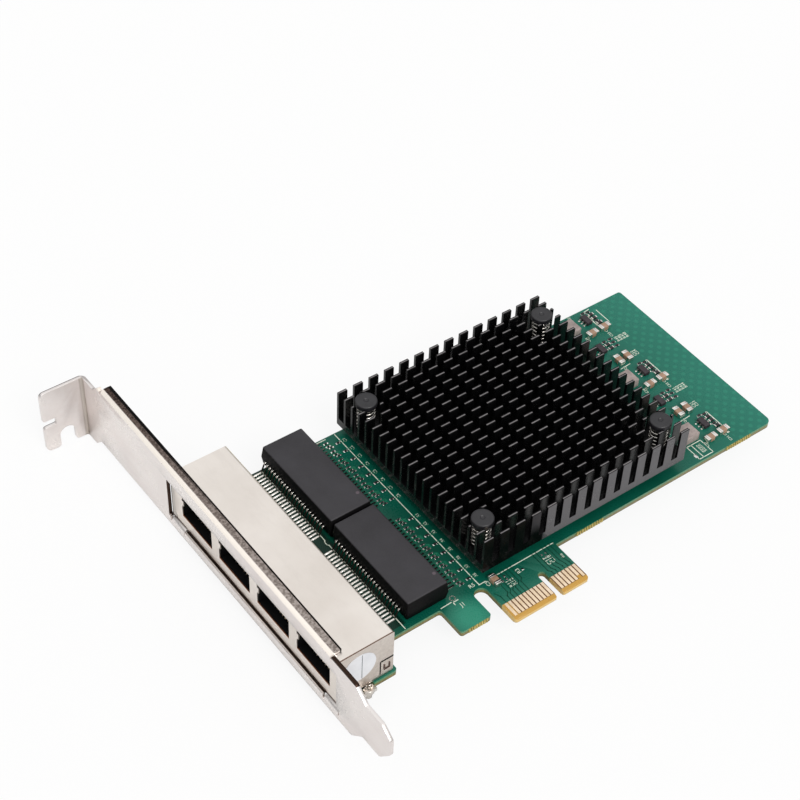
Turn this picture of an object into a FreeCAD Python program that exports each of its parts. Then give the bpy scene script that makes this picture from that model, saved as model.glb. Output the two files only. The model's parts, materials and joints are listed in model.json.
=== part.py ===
import FreeCAD, Part

import math
import os
import re

from FreeCAD import Placement, Rotation, Vector

# A four-port network interface card with an edge connector, in millimetres.
# X runs from the outer face of the bracket to the far end of the board, Y from the tips of
# the edge contacts towards the bracket's screw tab, and Z up from the component side.
# The origin is where the bracket's outer face, the contact tips' line and the component
# side of the board meet.

os.makedirs("parts", exist_ok=True)
doc = FreeCAD.newDocument("NetworkCard")
sheet = doc.addObject("Spreadsheet::Sheet", "Sizes")

SIZES = [
    # circuit board
    ("boardThickness", 1.57),
    ("boardStart", 1.3),
    ("boardEnd", 131.5),
    ("boardTop", 67.2),
    ("boardStep", 11.56),
    ("jackEdge", 4.25),
    ("jackEdgeEnd", 15.5),
    ("anchorStart", 32.15),
    ("anchorTip", 4.1),
    ("slotStart", 40.35),
    ("slotEnd", 43.8),
    ("keyCentre", 56.15),
    ("keyWidth", 1.9),
    ("keyDepth", 7.4),
    ("tongueEnd", 64.3),
    ("tongueCorner", 0.7),
    ("boardCorner", 1.6),
    ("bevelLength", 1.0),
    ("bevelDepth", 0.35),
    # edge contacts
    ("contactPitch", 1.0),
    ("contactWidth", 0.7),
    ("contactStart", 1.05),
    ("contactEnd", 4.9),
    ("contactThickness", 0.05),
    ("shortContactStart", 1.9),
    # bracket
    ("sheetThickness", 0.86),
    ("bendRadius", 0.6),
    ("plateLow", -4.27),
    ("plateWidth", 18.42),
    ("bracketTop", 105.9),
    ("bracketLength", 120.02),
    ("neckShift", 2.7),
    ("neckStart", 97.6),
    ("neckRamp", 2.7),
    ("tabDepth", 10.7),
    ("screwSlotWidth", 3.9),
    ("screwSlotDepth", 5.4),
    ("screwSlotCentre", 5.05),
    ("keySlotWidth", 2.0),
    ("keySlotDepth", 3.2),
    ("keySlotLow", 0.75),
    ("flangeStart", 6.6),
    ("flangeLength", 90.0),
    ("flangeReach", 2.9),
    ("tongueLow", -0.45),
    ("tongueHigh", 11.0),
    ("windowLow", -1.8),
    ("windowHigh", 9.8),
    ("windowSlack", 0.4),
    ("windowSlit", 1.5),
    ("lugWidth", 5.0),
    ("lugReach", 10.0),
    ("lugRelief", 0.5),
    ("lugOverhang", 0.55),
    # bracket screws
    ("screwPlace", 8.1),
    ("screwInset", 0.0),
    ("screwHeadRadius", 1.35),
    ("screwHeadHeight", 1.2),
    ("screwShankRadius", 0.85),
    ("screwReach", 1.0),
    ("screwNotchRadius", 1.55),
    # jack shield and housing
    ("jackGap", 0.05),
    ("jackBack", 14.6),
    ("jackLow", 4.7),
    ("jackWidth", 62.5),
    ("jackHeight", 13.2),
    ("shieldThickness", 0.25),
    ("shieldBend", 0.65),
    ("shieldLip", 1.2),
    ("shieldLipInset", 0.6),
    ("seatGap", 0.05),
    ("portPitch", 14.8),
    ("portWidth", 11.9),
    ("portLow", 1.9),
    ("portHeight", 8.1),
    ("springTabHeight", 1.6),
    ("springTabReach", 0.6),
    ("flapWidth", 3.1),
    ("flapHeight", 4.9),
    ("flapGap", 0.35),
    ("cavityWidth", 11.7),
    ("cavityHeight", 6.7),
    ("cavityDepth", 10.9),
    ("latchWidth", 6.2),
    ("latchHeight", 1.5),
    ("pegRadius", 1.5),
    ("pegPlace", 6.6),
    # port wires
    ("wirePitch", 1.02),
    ("wireWidth", 0.4),
    ("wireThickness", 0.25),
    ("tailReach", 1.5),
    ("tailSlack", 0.05),
    ("tailRowGap", 1.8),
    # transformer modules
    ("moduleStart", 24.5),
    ("moduleWidth", 10.5),
    ("moduleLength", 27.0),
    ("moduleHeight", 5.9),
    ("moduleLow", 13.2),
    ("modulePitch", 28.1),
    ("moduleDraft", 0.35),
    ("moduleSeam", 2.75),
    ("moduleStand", 0.3),
    ("leadCount", 24),
    ("leadPitch", 1.0),
    ("leadWidth", 0.4),
    ("leadThickness", 0.2),
    ("leadShoulder", 0.45),
    ("leadSpan", 3.3),
    ("footLength", 1.8),
    # heat sink
    ("sinkStart", 44.4),
    ("sinkLength", 59.2),
    ("sinkLow", 12.9),
    ("sinkWidth", 54.75),
    ("sinkStand", 2.4),
    ("sinkBase", 2.15),
    ("sinkHeight", 10.0),
    ("finThickness", 0.68),
    ("finPitch", 2.7035),
    ("finSegment", 2.45),
    ("segmentPitch", 4.3654),
    ("pinClearRadius", 3.25),
    ("pinHoleRadius", 1.6),
    # push pins and springs
    ("pinFirstX", 48.2),
    ("pinFirstY", 18.7),
    ("pinSpacingX", 51.6),
    ("pinSpacingY", 42.9),
    ("pinHeadRadius", 2.6),
    ("pinHeadHeight", 1.5),
    ("pinHeadTop", 12.9),
    ("pinShaftRadius", 1.2),
    ("pinBoardHole", 1.5),
    ("pinBarbRadius", 1.85),
    ("pinTip", -4.25),
    ("springRadius", 2.0),
    ("springWire", 0.5),
    ("springTurns", 5),
    # controller under the heat sink
    ("chipCentreX", 74.0),
    ("chipCentreY", 40.2),
    ("chipSize", 25.0),
    ("chipBase", 0.9),
    ("dieSize", 21.0),
    ("dieHeight", 1.95),
    ("padSize", 20.0),
    # power cells at the far end
    ("cellX", 110.6),
    ("cellY", 19.2),
    ("cellPitch", 21.6),
    ("inductorSize", 4.3),
    ("inductorHeight", 2.4),
    ("inductorFoot", 0.2),
    ("inductorCorner", 0.15),
    ("regulatorWidth", 1.6),
    ("regulatorLength", 3.0),
    ("regulatorHeight", 1.1),
    ("stubLeadReach", 0.85),
    ("capLength", 3.2),
    ("capWidth", 1.6),
    ("capHeight", 1.3),
    ("capEnd", 0.5),
    ("resistorLength", 1.6),
    ("resistorWidth", 0.8),
    ("resistorHeight", 0.45),
    ("resistorEnd", 0.3),
    # inspection label
    ("labelRadius", 4.1),
    ("labelThickness", 0.1),
    ("labelCentre", 6.0),
    ("labelHeight", 7.4),
]
for row, (alias, value) in enumerate(SIZES, start=1):
    sheet.set("A%d" % row, alias)
    sheet.set("B%d" % row, str(value))
    sheet.setAlias("B%d" % row, alias)
doc.recompute()
NAMES = {alias for alias, value in SIZES}
nodes = []


def size(alias):
    return float(sheet.get(alias))


def linked(text):
    """An expression in aliases, written so that any object can read it."""
    return re.sub(r"[A-Za-z]\w*", lambda m: "Sizes." + m[0] if m[0] in NAMES else m[0], str(text))


def worth(text):
    return float(sheet.evalExpression(linked(text)))


def bind(thing, **settings):
    for prop, text in settings.items():
        thing.setExpression(prop.replace("_", "."), linked(text))
    return thing


PLANES = {
    "XY": Rotation(),
    "XZ": Rotation(Vector(1, 0, 0), 90),
    "YZ": Rotation(Vector(1, 1, 1), 120),
}
ORIGIN = -1
START, END, CENTRE = 1, 2, 3


def pin_point(drawing, item, spot, across, up):
    """Holds one point of a sketch at the place that two expressions give."""
    import Sketcher

    for kind, text in (("DistanceX", across), ("DistanceY", up)):
        number = drawing.addConstraint(Sketcher.Constraint(kind, ORIGIN, START, item, spot, worth(text)))
        drawing.setExpression("Constraints[%d]" % number, linked(text))


def outline(name, plane, corners):
    """A closed sketch of straight lines; a corner with a third entry is rounded to that radius."""
    import Sketcher

    drawing = doc.addObject("Sketcher::SketchObject", name)
    drawing.Placement = Placement(Vector(), PLANES[plane])
    spots = [Vector(worth(c[0]), worth(c[1]), 0) for c in corners]
    radii = [c[2] if len(c) > 2 else None for c in corners]
    count = len(corners)
    entry = []
    leave = []
    arcs = []
    for i in range(count):
        back = (spots[i - 1] - spots[i]).normalize()
        ahead = (spots[(i + 1) % count] - spots[i]).normalize()
        if radii[i] is None:
            entry.append(spots[i])
            leave.append(spots[i])
            arcs.append(None)
            continue
        half = back.getAngle(ahead) / 2
        radius = worth(radii[i])
        reach = radius / math.tan(half)
        middle = spots[i] + (back + ahead).normalize() * (radius / math.sin(half))
        entry.append(spots[i] + back * reach)
        leave.append(spots[i] + ahead * reach)
        arcs.append((middle, radius, back.cross(ahead).z < 0))
    lines = []
    for i in range(count):
        lines.append(drawing.addGeometry(Part.LineSegment(leave[i], entry[(i + 1) % count]), False))
    for i in range(count):
        before = lines[i - 1]
        after = lines[i]
        if arcs[i] is None:
            drawing.addConstraint(Sketcher.Constraint("Coincident", before, END, after, START))
            pin_point(drawing, after, START, corners[i][0], corners[i][1])
            continue
        middle, radius, left_turn = arcs[i]
        first, last = (entry[i], leave[i]) if left_turn else (leave[i], entry[i])
        begin = math.atan2(first.y - middle.y, first.x - middle.x)
        stop = math.atan2(last.y - middle.y, last.x - middle.x)
        circle = Part.Circle(middle, Vector(0, 0, 1), radius)
        arc = drawing.addGeometry(Part.ArcOfCircle(circle, begin, stop), False)
        near, far = (START, END) if left_turn else (END, START)
        corner = drawing.addGeometry(Part.Point(spots[i]), True)
        pin_point(drawing, corner, START, corners[i][0], corners[i][1])
        drawing.addConstraint(Sketcher.Constraint("Tangent", before, END, arc, near))
        drawing.addConstraint(Sketcher.Constraint("Tangent", arc, far, after, START))
        drawing.addConstraint(Sketcher.Constraint("PointOnObject", corner, START, before))
        drawing.addConstraint(Sketcher.Constraint("PointOnObject", corner, START, after))
        number = drawing.addConstraint(Sketcher.Constraint("Radius", arc, radius))
        drawing.setExpression("Constraints[%d]" % number, linked(radii[i]))
    return drawing


def circles(name, plane, centres, radius):
    """A sketch of equal circles at the given places."""
    import Sketcher

    drawing = doc.addObject("Sketcher::SketchObject", name)
    drawing.Placement = Placement(Vector(), PLANES[plane])
    for across, up in centres:
        spot = Vector(worth(across), worth(up), 0)
        ring = drawing.addGeometry(Part.Circle(spot, Vector(0, 0, 1), worth(radius)), False)
        pin_point(drawing, ring, CENTRE, across, up)
        number = drawing.addConstraint(Sketcher.Constraint("Radius", ring, worth(radius)))
        drawing.setExpression("Constraints[%d]" % number, linked(radius))
    return drawing


def prism(name, drawing, ahead, behind="0"):
    """A solid that runs from a sketch along its plane's normal."""
    solid = doc.addObject("Part::Extrusion", name)
    solid.Base = drawing
    solid.DirMode = "Normal"
    solid.Solid = True
    return bind(solid, LengthFwd=ahead, LengthRev=behind)


def block(name, corner, lengths):
    solid = doc.addObject("Part::Box", name)
    bind(solid, Placement_Base_x=corner[0], Placement_Base_y=corner[1], Placement_Base_z=corner[2])
    return bind(solid, Length=lengths[0], Width=lengths[1], Height=lengths[2])


def rod(name, base, radius, height):
    solid = doc.addObject("Part::Cylinder", name)
    bind(solid, Placement_Base_x=base[0], Placement_Base_y=base[1], Placement_Base_z=base[2])
    return bind(solid, Radius=radius, Height=height)


def cut(name, base, tool):
    result = doc.addObject("Part::Cut", name)
    result.Base = base
    result.Tool = tool
    return result


def joined(name, pieces):
    result = doc.addObject("Part::MultiFuse", name)
    result.Shapes = pieces
    result.Refine = True
    return result


def group(name, pieces):
    result = doc.addObject("Part::Compound", name)
    result.Links = pieces
    return result


def common(name, first, second):
    result = doc.addObject("Part::Common", name)
    result.Base = first
    result.Tool = second
    return result


def shaped(name, solids):
    """A node whose solids are worked out below from the sheet's sizes."""
    result = doc.addObject("Part::Feature", name)
    result.Shape = Part.makeCompound(solids) if len(solids) > 1 else solids[0]
    return result


def keep(label, thing):
    thing.Label = label
    nodes.append(thing)
    return thing


def ribbon(path, thickness, low, width):
    """A strip of sheet metal: a bent path in XZ given its thickness and run along Y."""
    points = [Vector(x, 0, z) for x, z in path]
    sides = []
    for sign in (1, -1):
        edge = []
        for i, point in enumerate(points):
            before = (point - points[i - 1]).normalize() if i > 0 else None
            after = (points[i + 1] - point).normalize() if i + 1 < len(points) else None
            run = (before or after) + (after or before)
            run.normalize()
            normal = Vector(-run.z, 0, run.x)
            stretch = 1.0 / max(0.3, run.dot(after or before))
            edge.append(point + normal * (sign * thickness / 2 * stretch))
        sides.append(edge)
    loop = sides[0] + sides[1][::-1]
    face = Part.Face(Part.makePolygon(loop + [loop[0]]))
    face.translate(Vector(0, low, 0))
    return face.extrude(Vector(0, width, 0))


def placed(solid, x, y, z, turn=0):
    copy = solid.copy()
    copy.Placement = Placement(Vector(x, y, z), Rotation(Vector(0, 0, 1), turn)).multiply(copy.Placement)
    return copy


# ---------------------------------------------------------------- places shared by the pieces

JACK_FRONT = "(sheetThickness + jackGap)"
PORTS = range(4)
PORT_CENTRES = ["jackLow + jackWidth / 2 + portPitch * %s" % (i - 1.5) for i in PORTS]
SCREW_ROWS = ["jackEdge + screwInset", "boardTop - screwInset"]
PIN_PLACES = [
    ("pinFirstX + %d * pinSpacingX" % i, "pinFirstY + %d * pinSpacingY" % j)
    for i in range(2)
    for j in range(2)
]
PEG_ROWS = ["jackLow + jackWidth / 2 + portPitch * %s" % step for step in (-1, 1)]
TAIL_X = JACK_FRONT + " + shieldThickness + seatGap + cavityDepth"
TAIL_ROWS = [TAIL_X + " - tailRowGap", TAIL_X]
WIRES = range(8)


def wire_row(port, wire):
    return "%s + wirePitch * %s" % (PORT_CENTRES[port], wire - 3.5)


# ---------------------------------------------------------------- circuit board

board_outline = outline("BoardOutline", "XY", [
    ("boardStart", "jackEdge", "tongueCorner"),
    ("jackEdgeEnd", "jackEdge", "tongueCorner"),
    ("jackEdgeEnd", "boardStep"),
    ("anchorStart", "boardStep", "tongueCorner"),
    ("anchorStart", "anchorTip", "tongueCorner"),
    ("slotStart", "anchorTip", "tongueCorner"),
    ("slotStart", "boardStep", "(slotEnd - slotStart) / 2 - 0.01"),
    ("slotEnd", "boardStep", "(slotEnd - slotStart) / 2 - 0.01"),
    ("slotEnd", "0", "tongueCorner"),
    ("keyCentre - keyWidth / 2", "0", "tongueCorner / 2"),
    ("keyCentre - keyWidth / 2", "keyDepth", "keyWidth / 2 - 0.01"),
    ("keyCentre + keyWidth / 2", "keyDepth", "keyWidth / 2 - 0.01"),
    ("keyCentre + keyWidth / 2", "0", "tongueCorner / 2"),
    ("tongueEnd", "0", "tongueCorner"),
    ("tongueEnd", "boardStep"),
    ("boardEnd", "boardStep", "boardCorner"),
    ("boardEnd", "boardTop", "tongueCorner"),
    ("boardStart", "boardTop", "tongueCorner"),
])
board_blank = prism("BoardBlank", board_outline, "0", "boardThickness")
pin_holes = prism(
    "PinHoles",
    circles("PinHoleRings", "XY", PIN_PLACES, "pinBoardHole"),
    "1",
    "boardThickness + 1",
)
tail_places = [
    (TAIL_ROWS[wire % 2], wire_row(port, wire)) for port in PORTS for wire in WIRES
]
tail_holes = group("TailHoles", [
    block(
        "TailHole%d" % i,
        (x + " - wireThickness / 2 - tailSlack", y + " - wireWidth / 2 - tailSlack", "-boardThickness - 1"),
        ("wireThickness + 2 * tailSlack", "wireWidth + 2 * tailSlack", "boardThickness + 2"),
    )
    for i, (x, y) in enumerate(tail_places)
])
peg_holes = prism(
    "PegHoles",
    circles("PegHoleRings", "XY", [("pegPlace", row) for row in PEG_ROWS], "pegRadius + seatGap"),
    "1",
    "boardThickness + 1",
)
screw_notches = prism(
    "ScrewNotches",
    circles("ScrewNotchRings", "XY", [("screwPlace", row) for row in SCREW_ROWS], "screwNotchRadius"),
    "1",
    "boardThickness + 1",
)
bevel_front = prism("BevelFront", outline("BevelFrontOutline", "YZ", [
    ("-1", "-bevelDepth - bevelDepth / bevelLength"),
    ("bevelLength + 1", "bevelDepth / bevelLength"),
    ("-1", "bevelDepth"),
]), "tongueEnd + 1")
bevel_back = prism("BevelBack", outline("BevelBackOutline", "YZ", [
    ("-1", "-boardThickness + bevelDepth + bevelDepth / bevelLength"),
    ("-1", "-boardThickness - bevelDepth"),
    ("bevelLength + 1", "-boardThickness - bevelDepth / bevelLength"),
]), "tongueEnd + 1")
board_cuts = group("BoardCuts", [pin_holes, tail_holes, peg_holes, screw_notches])
board_bevels = group("BoardBevels", [bevel_front, bevel_back])
keep("circuit_board", cut("Board", cut("BoardDrilled", board_blank, board_cuts), board_bevels))

# ---------------------------------------------------------------- edge contacts

CONTACT_STEPS = [-11.5 + i for i in range(11)] + [1.5 + i for i in range(7)]
SHORT_CONTACT = 6.5


def contact_row(height):
    solids = []
    for step in CONTACT_STEPS:
        low = size("shortContactStart") if step == SHORT_CONTACT else size("contactStart")
        left = size("keyCentre") + step * size("contactPitch") - size("contactWidth") / 2
        length = size("contactEnd") - low
        corner = Vector(left, low, height)
        solids.append(Part.makeBox(size("contactWidth"), length, size("contactThickness"), corner))
    return solids


contact_low = -size("boardThickness") - size("contactThickness")
keep("edge_contacts_front", shaped("ContactsFront", contact_row(0)))
keep("edge_contacts_back", shaped("ContactsBack", contact_row(contact_low)))

# ---------------------------------------------------------------- bracket, folded from one sheet

PLATE_HIGH = "plateLow + plateWidth"
OUTER_BEND = "bendRadius + sheetThickness"
NECK_LOW = "plateLow - neckShift"
NECK_HIGH = "plateLow + plateWidth - neckShift"
BRACKET_TIP = "bracketTop - bracketLength"
LUG_TOP = "-boardThickness"

folded_strip = prism("FoldedStrip", outline("FoldOutline", "XY", [
    ("0", BRACKET_TIP),
    ("sheetThickness", BRACKET_TIP),
    ("sheetThickness", "bracketTop", OUTER_BEND),
    ("-tabDepth", "bracketTop"),
    ("-tabDepth", "bracketTop - sheetThickness"),
    ("0", "bracketTop - sheetThickness", "bendRadius"),
]), PLATE_HIGH, "neckShift - plateLow")
plate_blank = prism("PlateBlank", outline("PlateOutline", "YZ", [
    (BRACKET_TIP, "4.0", "1.0"),
    (BRACKET_TIP + " + 3.4", "tongueLow", "1.2"),
    ("-4.9", "tongueLow", "1.0"),
    ("-1.2", "plateLow", "1.5"),
    ("neckStart + 1.0", "plateLow", "0.8"),
    ("neckStart + 1.0 + neckRamp", NECK_LOW, "1.0"),
    ("bracketTop + 1", NECK_LOW),
    ("bracketTop + 1", NECK_HIGH),
    ("neckStart + neckRamp", NECK_HIGH, "1.0"),
    ("neckStart", PLATE_HIGH, "0.6"),
    ("-2.1", PLATE_HIGH, "0.6"),
    ("-5.8", "tongueHigh", "0.6"),
    (BRACKET_TIP + " + 3.0", "tongueHigh", "1.0"),
    (BRACKET_TIP, "8.6", "0.8"),
]), "sheetThickness + 1", "tabDepth + 1")
# the tab's face: its outer corners, the open screw slot and the narrow slot beside it
SLOT_LEFT = "-screwSlotCentre - screwSlotWidth / 2"
SLOT_RIGHT = "-screwSlotCentre + screwSlotWidth / 2"
SLOT_TOP = NECK_LOW + " + screwSlotDepth"
KEY_END = "-tabDepth + keySlotDepth"
tab_window = prism("TabWindow", outline("TabOutline", "XZ", [
    ("-tabDepth", NECK_LOW, "1.5"),
    (SLOT_LEFT, NECK_LOW, "0.8"),
    (SLOT_LEFT, SLOT_TOP, "screwSlotWidth / 2 - 0.02"),
    (SLOT_RIGHT, SLOT_TOP, "screwSlotWidth / 2 - 0.02"),
    (SLOT_RIGHT, NECK_LOW, "0.9"),
    ("sheetThickness + 1", NECK_LOW),
    ("sheetThickness + 1", PLATE_HIGH + " + 1"),
    ("-tabDepth / 4", PLATE_HIGH + " + 1"),
    ("-tabDepth / 4", NECK_HIGH),
    ("-tabDepth", NECK_HIGH, "1.3"),
    ("-tabDepth", "keySlotLow + keySlotWidth", "0.5"),
    (KEY_END, "keySlotLow + keySlotWidth", "0.3"),
    (KEY_END, "keySlotLow", "0.3"),
    ("-tabDepth", "keySlotLow", "0.8"),
]), "20", "bracketTop + 1")
window = prism("Window", outline("WindowOutline", "YZ", [
    ("jackLow - windowSlack", "windowLow", "0.3"),
    ("jackLow + jackWidth + windowSlit", "windowLow", "0.3"),
    ("jackLow + jackWidth + windowSlit", "windowHigh", "0.3"),
    ("jackLow - windowSlack", "windowHigh", "0.3"),
]), "sheetThickness + 1", "1")
flange_clear = block(
    "FlangeClear",
    ("-1", "flangeStart - lugRelief", PLATE_HIGH + " - bendRadius - sheetThickness"),
    ("sheetThickness + 2", "flangeLength + 2 * lugRelief", "10"),
)
LUG_ROWS = [
    "jackEdge - lugOverhang",
    "boardTop + lugOverhang - lugWidth",
]
lug_clears = [
    block(
        "LugClear%d" % i,
        ("-1", row + " - lugRelief", LUG_TOP + " - bendRadius - sheetThickness"),
        (
            "sheetThickness + 2",
            "lugWidth + 2 * lugRelief",
            "bendRadius + sheetThickness + boardThickness + windowLow + 1",
        ),
    )
    for i, row in enumerate(LUG_ROWS)
]


def fold(name, top, reach, low, length):
    """A flange that turns from the plate at its outer face back along X, its top face at a height."""
    edge = outline(name + "Outline", "XZ", [
        ("0", top + " - bendRadius - 2 * sheetThickness"),
        ("0", top, OUTER_BEND),
        (reach, top),
        (reach, top + " - sheetThickness"),
        ("sheetThickness", top + " - sheetThickness", "bendRadius"),
        ("sheetThickness", top + " - bendRadius - 2 * sheetThickness"),
    ])
    return prism(name, edge, "-(" + low + ")", "(" + low + ") + " + length)


flange = fold("Flange", PLATE_HIGH, "flangeReach", "flangeStart", "flangeLength")
lugs = [fold("Lug%d" % i, LUG_TOP, "lugReach", row, "lugWidth") for i, row in enumerate(LUG_ROWS)]
lug_holes = prism(
    "LugHoles",
    circles("LugHoleRings", "XY", [("screwPlace", row) for row in SCREW_ROWS], "screwShankRadius"),
    "0",
    "boardThickness + 5",
)
strip_trimmed = common("StripTrimmed", common("StripOutlined", folded_strip, plate_blank), tab_window)
plate_cuts = group("PlateCuts", [window, flange_clear] + lug_clears)
plate = cut("Plate", strip_trimmed, plate_cuts)
bracket_fused = joined("BracketFused", [plate, flange] + lugs)
keep("bracket", cut("Bracket", bracket_fused, lug_holes))

# ---------------------------------------------------------------- bracket screws


def bracket_screw():
    head = Part.makeCylinder(size("screwHeadRadius"), size("screwHeadHeight"))
    arm = size("screwHeadRadius") * 1.2
    slot = size("screwHeadRadius") * 0.3
    deep = size("screwHeadHeight") * 0.5
    for length, width in ((arm, slot), (slot, arm)):
        corner = Vector(-length / 2, -width / 2, size("screwHeadHeight") - deep)
        head = head.cut(Part.makeBox(length, width, deep + 1, corner))
    reach = size("sheetThickness") + size("screwReach")
    shank = Part.makeCylinder(size("screwShankRadius") - 0.02, reach, Vector(0, 0, -reach))
    return head.fuse(shank).removeSplitter()


screw = bracket_screw()
keep("bracket_screws", shaped("BracketScrews", [
    placed(screw, size("screwPlace"), worth(row), -size("boardThickness")) for row in SCREW_ROWS
]))

# ---------------------------------------------------------------- jack shield, a folded tin box



def jack_block(name, inset, bottom, bend):
    """A block across all four ports, inset from the shield's outside, with bent front and back edges."""
    front = JACK_FRONT + " + " + inset
    back = "jackBack - (" + inset + ")"
    top = "jackHeight - (" + inset + ")"
    side = outline(name + "Outline", "XZ", [
        (front, bottom),
        (back, bottom),
        (back, top, bend),
        (front, top, bend),
    ])
    return prism(name, side, "-(jackLow + " + inset + ")", "jackLow + jackWidth - (" + inset + ")")


shield_block = jack_block("ShieldBlock", "0", "seatGap", "shieldBend")
shield_lip = block(
    "ShieldLip",
    (JACK_FRONT, "jackLow + shieldLipInset", "-shieldLip"),
    ("shieldThickness", "jackWidth - 2 * shieldLipInset", "shieldLip + seatGap + 1"),
)
shield_hollow = jack_block("ShieldHollow", "shieldThickness", "-1", "shieldBend - shieldThickness")
port_openings = []
for i, centre in enumerate(PORT_CENTRES):
    side = centre + " + portWidth / 2"
    middle = "portLow + portHeight / 2 - springTabHeight / 2"
    port_openings.append(prism("PortOpening%d" % i, outline("PortOutline%d" % i, "YZ", [
        (centre + " - portWidth / 2", "portLow"),
        (side, "portLow"),
        (side, middle),
        (side + " - springTabReach", middle),
        (side + " - springTabReach", middle + " + springTabHeight"),
        (side, middle + " + springTabHeight"),
        (side, "portLow + portHeight"),
        (centre + " - portWidth / 2", "portLow + portHeight"),
    ]), JACK_FRONT + " + shieldThickness + seatGap", "1"))
flap_slits = [
    block(
        "FlapTop",
        ("jackBack - flapWidth", "jackLow - 1", "flapHeight"),
        ("flapWidth - shieldThickness - 0.2", "shieldThickness + 1", "flapGap"),
    ),
    block(
        "FlapSide",
        ("jackBack - flapWidth - flapGap", "jackLow - 1", "seatGap + 0.8"),
        ("flapGap", "shieldThickness + 1", "flapHeight + flapGap - seatGap - 0.8"),
    ),
]
shield_cuts = group("ShieldCuts", [shield_hollow] + port_openings + flap_slits)
keep("jack_shield", cut("JackShield", joined("ShieldBox", [shield_block, shield_lip]), shield_cuts))

# ---------------------------------------------------------------- jack housing with four cavities

HOUSING_FRONT = JACK_FRONT + " + shieldThickness + seatGap"
housing_block = jack_block(
    "HousingBlock",
    "(shieldThickness + seatGap)",
    "seatGap",
    "shieldBend - shieldThickness - seatGap",
)
pegs = [
    rod("Peg%d" % i, ("pegPlace", row, "-boardThickness - 0.4"), "pegRadius", "boardThickness + 0.5 + seatGap")
    for i, row in enumerate(PEG_ROWS)
]
housing_solid = joined("HousingSolid", [housing_block] + pegs)
housing_tools = []
for i, centre in enumerate(PORT_CENTRES):
    cavity = block(
        "Cavity%d" % i,
        (HOUSING_FRONT + " - 1", centre + " - cavityWidth / 2", "portLow + 0.1"),
        ("cavityDepth + 1 - 2.6", "cavityWidth", "cavityHeight"),
    )
    latch = block(
        "Latch%d" % i,
        (HOUSING_FRONT + " - 1", centre + " - latchWidth / 2", "portLow + 0.1 + cavityHeight - 0.1"),
        ("cavityDepth + 1 - 3.6", "latchWidth", "latchHeight + 0.1"),
    )
    pocket = block(
        "WirePocket%d" % i,
        (HOUSING_FRONT + " + 1.8", centre + " - wirePitch * 4.2", "0.6"),
        ("cavityDepth - 1.8 + 0.7", "wirePitch * 8.4", "5.6"),
    )
    tails = block(
        "TailSlot%d" % i,
        (TAIL_X + " - tailRowGap - 0.5", centre + " - wirePitch * 4.2", "-1"),
        ("tailRowGap + 1.2", "wirePitch * 8.4", "2"),
    )
    housing_tools += [cavity, latch, pocket, tails]
keep("jack_housing", cut("JackHousing", housing_solid, joined("HousingTools", housing_tools)))

# ---------------------------------------------------------------- port wires


def port_wire(tail_x, row):
    """A spring contact: up through the board, forward along the floor, back up into the port."""
    front = worth(HOUSING_FRONT)
    floor = 0.6 + size("wireThickness") / 2 + 0.1
    bottom = -size("boardThickness") - size("tailReach")
    path = [
        (tail_x, bottom),
        (tail_x, floor),
        (front + 2.5, floor),
        (front + 8.4, floor + 3.4),
    ]
    return ribbon(path, size("wireThickness"), row - size("wireWidth") / 2, size("wireWidth"))


wires = [
    port_wire(worth(TAIL_ROWS[wire % 2]), worth(wire_row(port, wire)))
    for port in PORTS
    for wire in WIRES
]
keep("port_wires", shaped("PortWires", wires))

# ---------------------------------------------------------------- transformer modules and their leads

MODULES = range(2)


def drafted(name, low, bottom, height, tip_down):
    """Half of a moulded body: the seam's outline at one end, a slightly smaller one at the other."""
    half = doc.addObject("Part::Wedge", name)
    grow = "moduleDraft"
    bind(
        half,
        Placement_Base_x="moduleStart",
        Placement_Base_y=low,
        Placement_Base_z=bottom,
        Xmin="0",
        Xmax="moduleLength",
        Zmin="0",
        Zmax="moduleWidth",
        Ymin="0",
        Ymax=height,
        X2min="0",
        X2max="moduleLength",
        Z2min="0",
        Z2max="moduleWidth",
    )
    wide = ("Xmin", "Xmax", "Zmin", "Zmax") if not tip_down else ("X2min", "X2max", "Z2min", "Z2max")
    bind(half, **{
        wide[0]: "-" + grow,
        wide[1]: "moduleLength + " + grow,
        wide[2]: "-" + grow,
        wide[3]: "moduleWidth + " + grow,
    })
    half.Placement = Placement(half.Placement.Base, Rotation(Vector(1, 1, 1), 120))
    return half


bodies = []
for i in MODULES:
    low = "moduleLow + %d * modulePitch" % i
    under = drafted("ModuleUnder%d" % i, low, "moduleStand", "moduleSeam - moduleStand", True)
    over = drafted("ModuleOver%d" % i, low, "moduleSeam", "moduleHeight - moduleSeam", False)
    bodies.append(joined("Module%d" % i, [under, over]))
keep("transformer_modules", group("TransformerModules", bodies))


def module_leads():
    solids = []
    rise = size("moduleSeam")
    half = size("leadThickness") / 2
    edge_left = size("moduleStart") - size("moduleDraft")
    edge_right = size("moduleStart") + size("moduleWidth") + size("moduleDraft")
    for i in MODULES:
        middle = size("moduleLow") + i * size("modulePitch") + size("moduleLength") / 2
        for edge, way in ((edge_left, -1), (edge_right, 1)):
            shoulder = edge + way * size("leadShoulder")
            toe = edge + way * size("leadSpan")
            heel = toe - way * size("footLength")
            path = [(edge, rise), (shoulder, rise), (heel, half), (toe, half)]
            for k in range(int(size("leadCount"))):
                row = middle + (k - (size("leadCount") - 1) / 2) * size("leadPitch")
                low = row - size("leadWidth") / 2
                solids.append(ribbon(path, size("leadThickness"), low, size("leadWidth")))
    return solids


keep("transformer_leads", shaped("TransformerLeads", module_leads()))

# ---------------------------------------------------------------- heat sink, extruded then cross-cut

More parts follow.
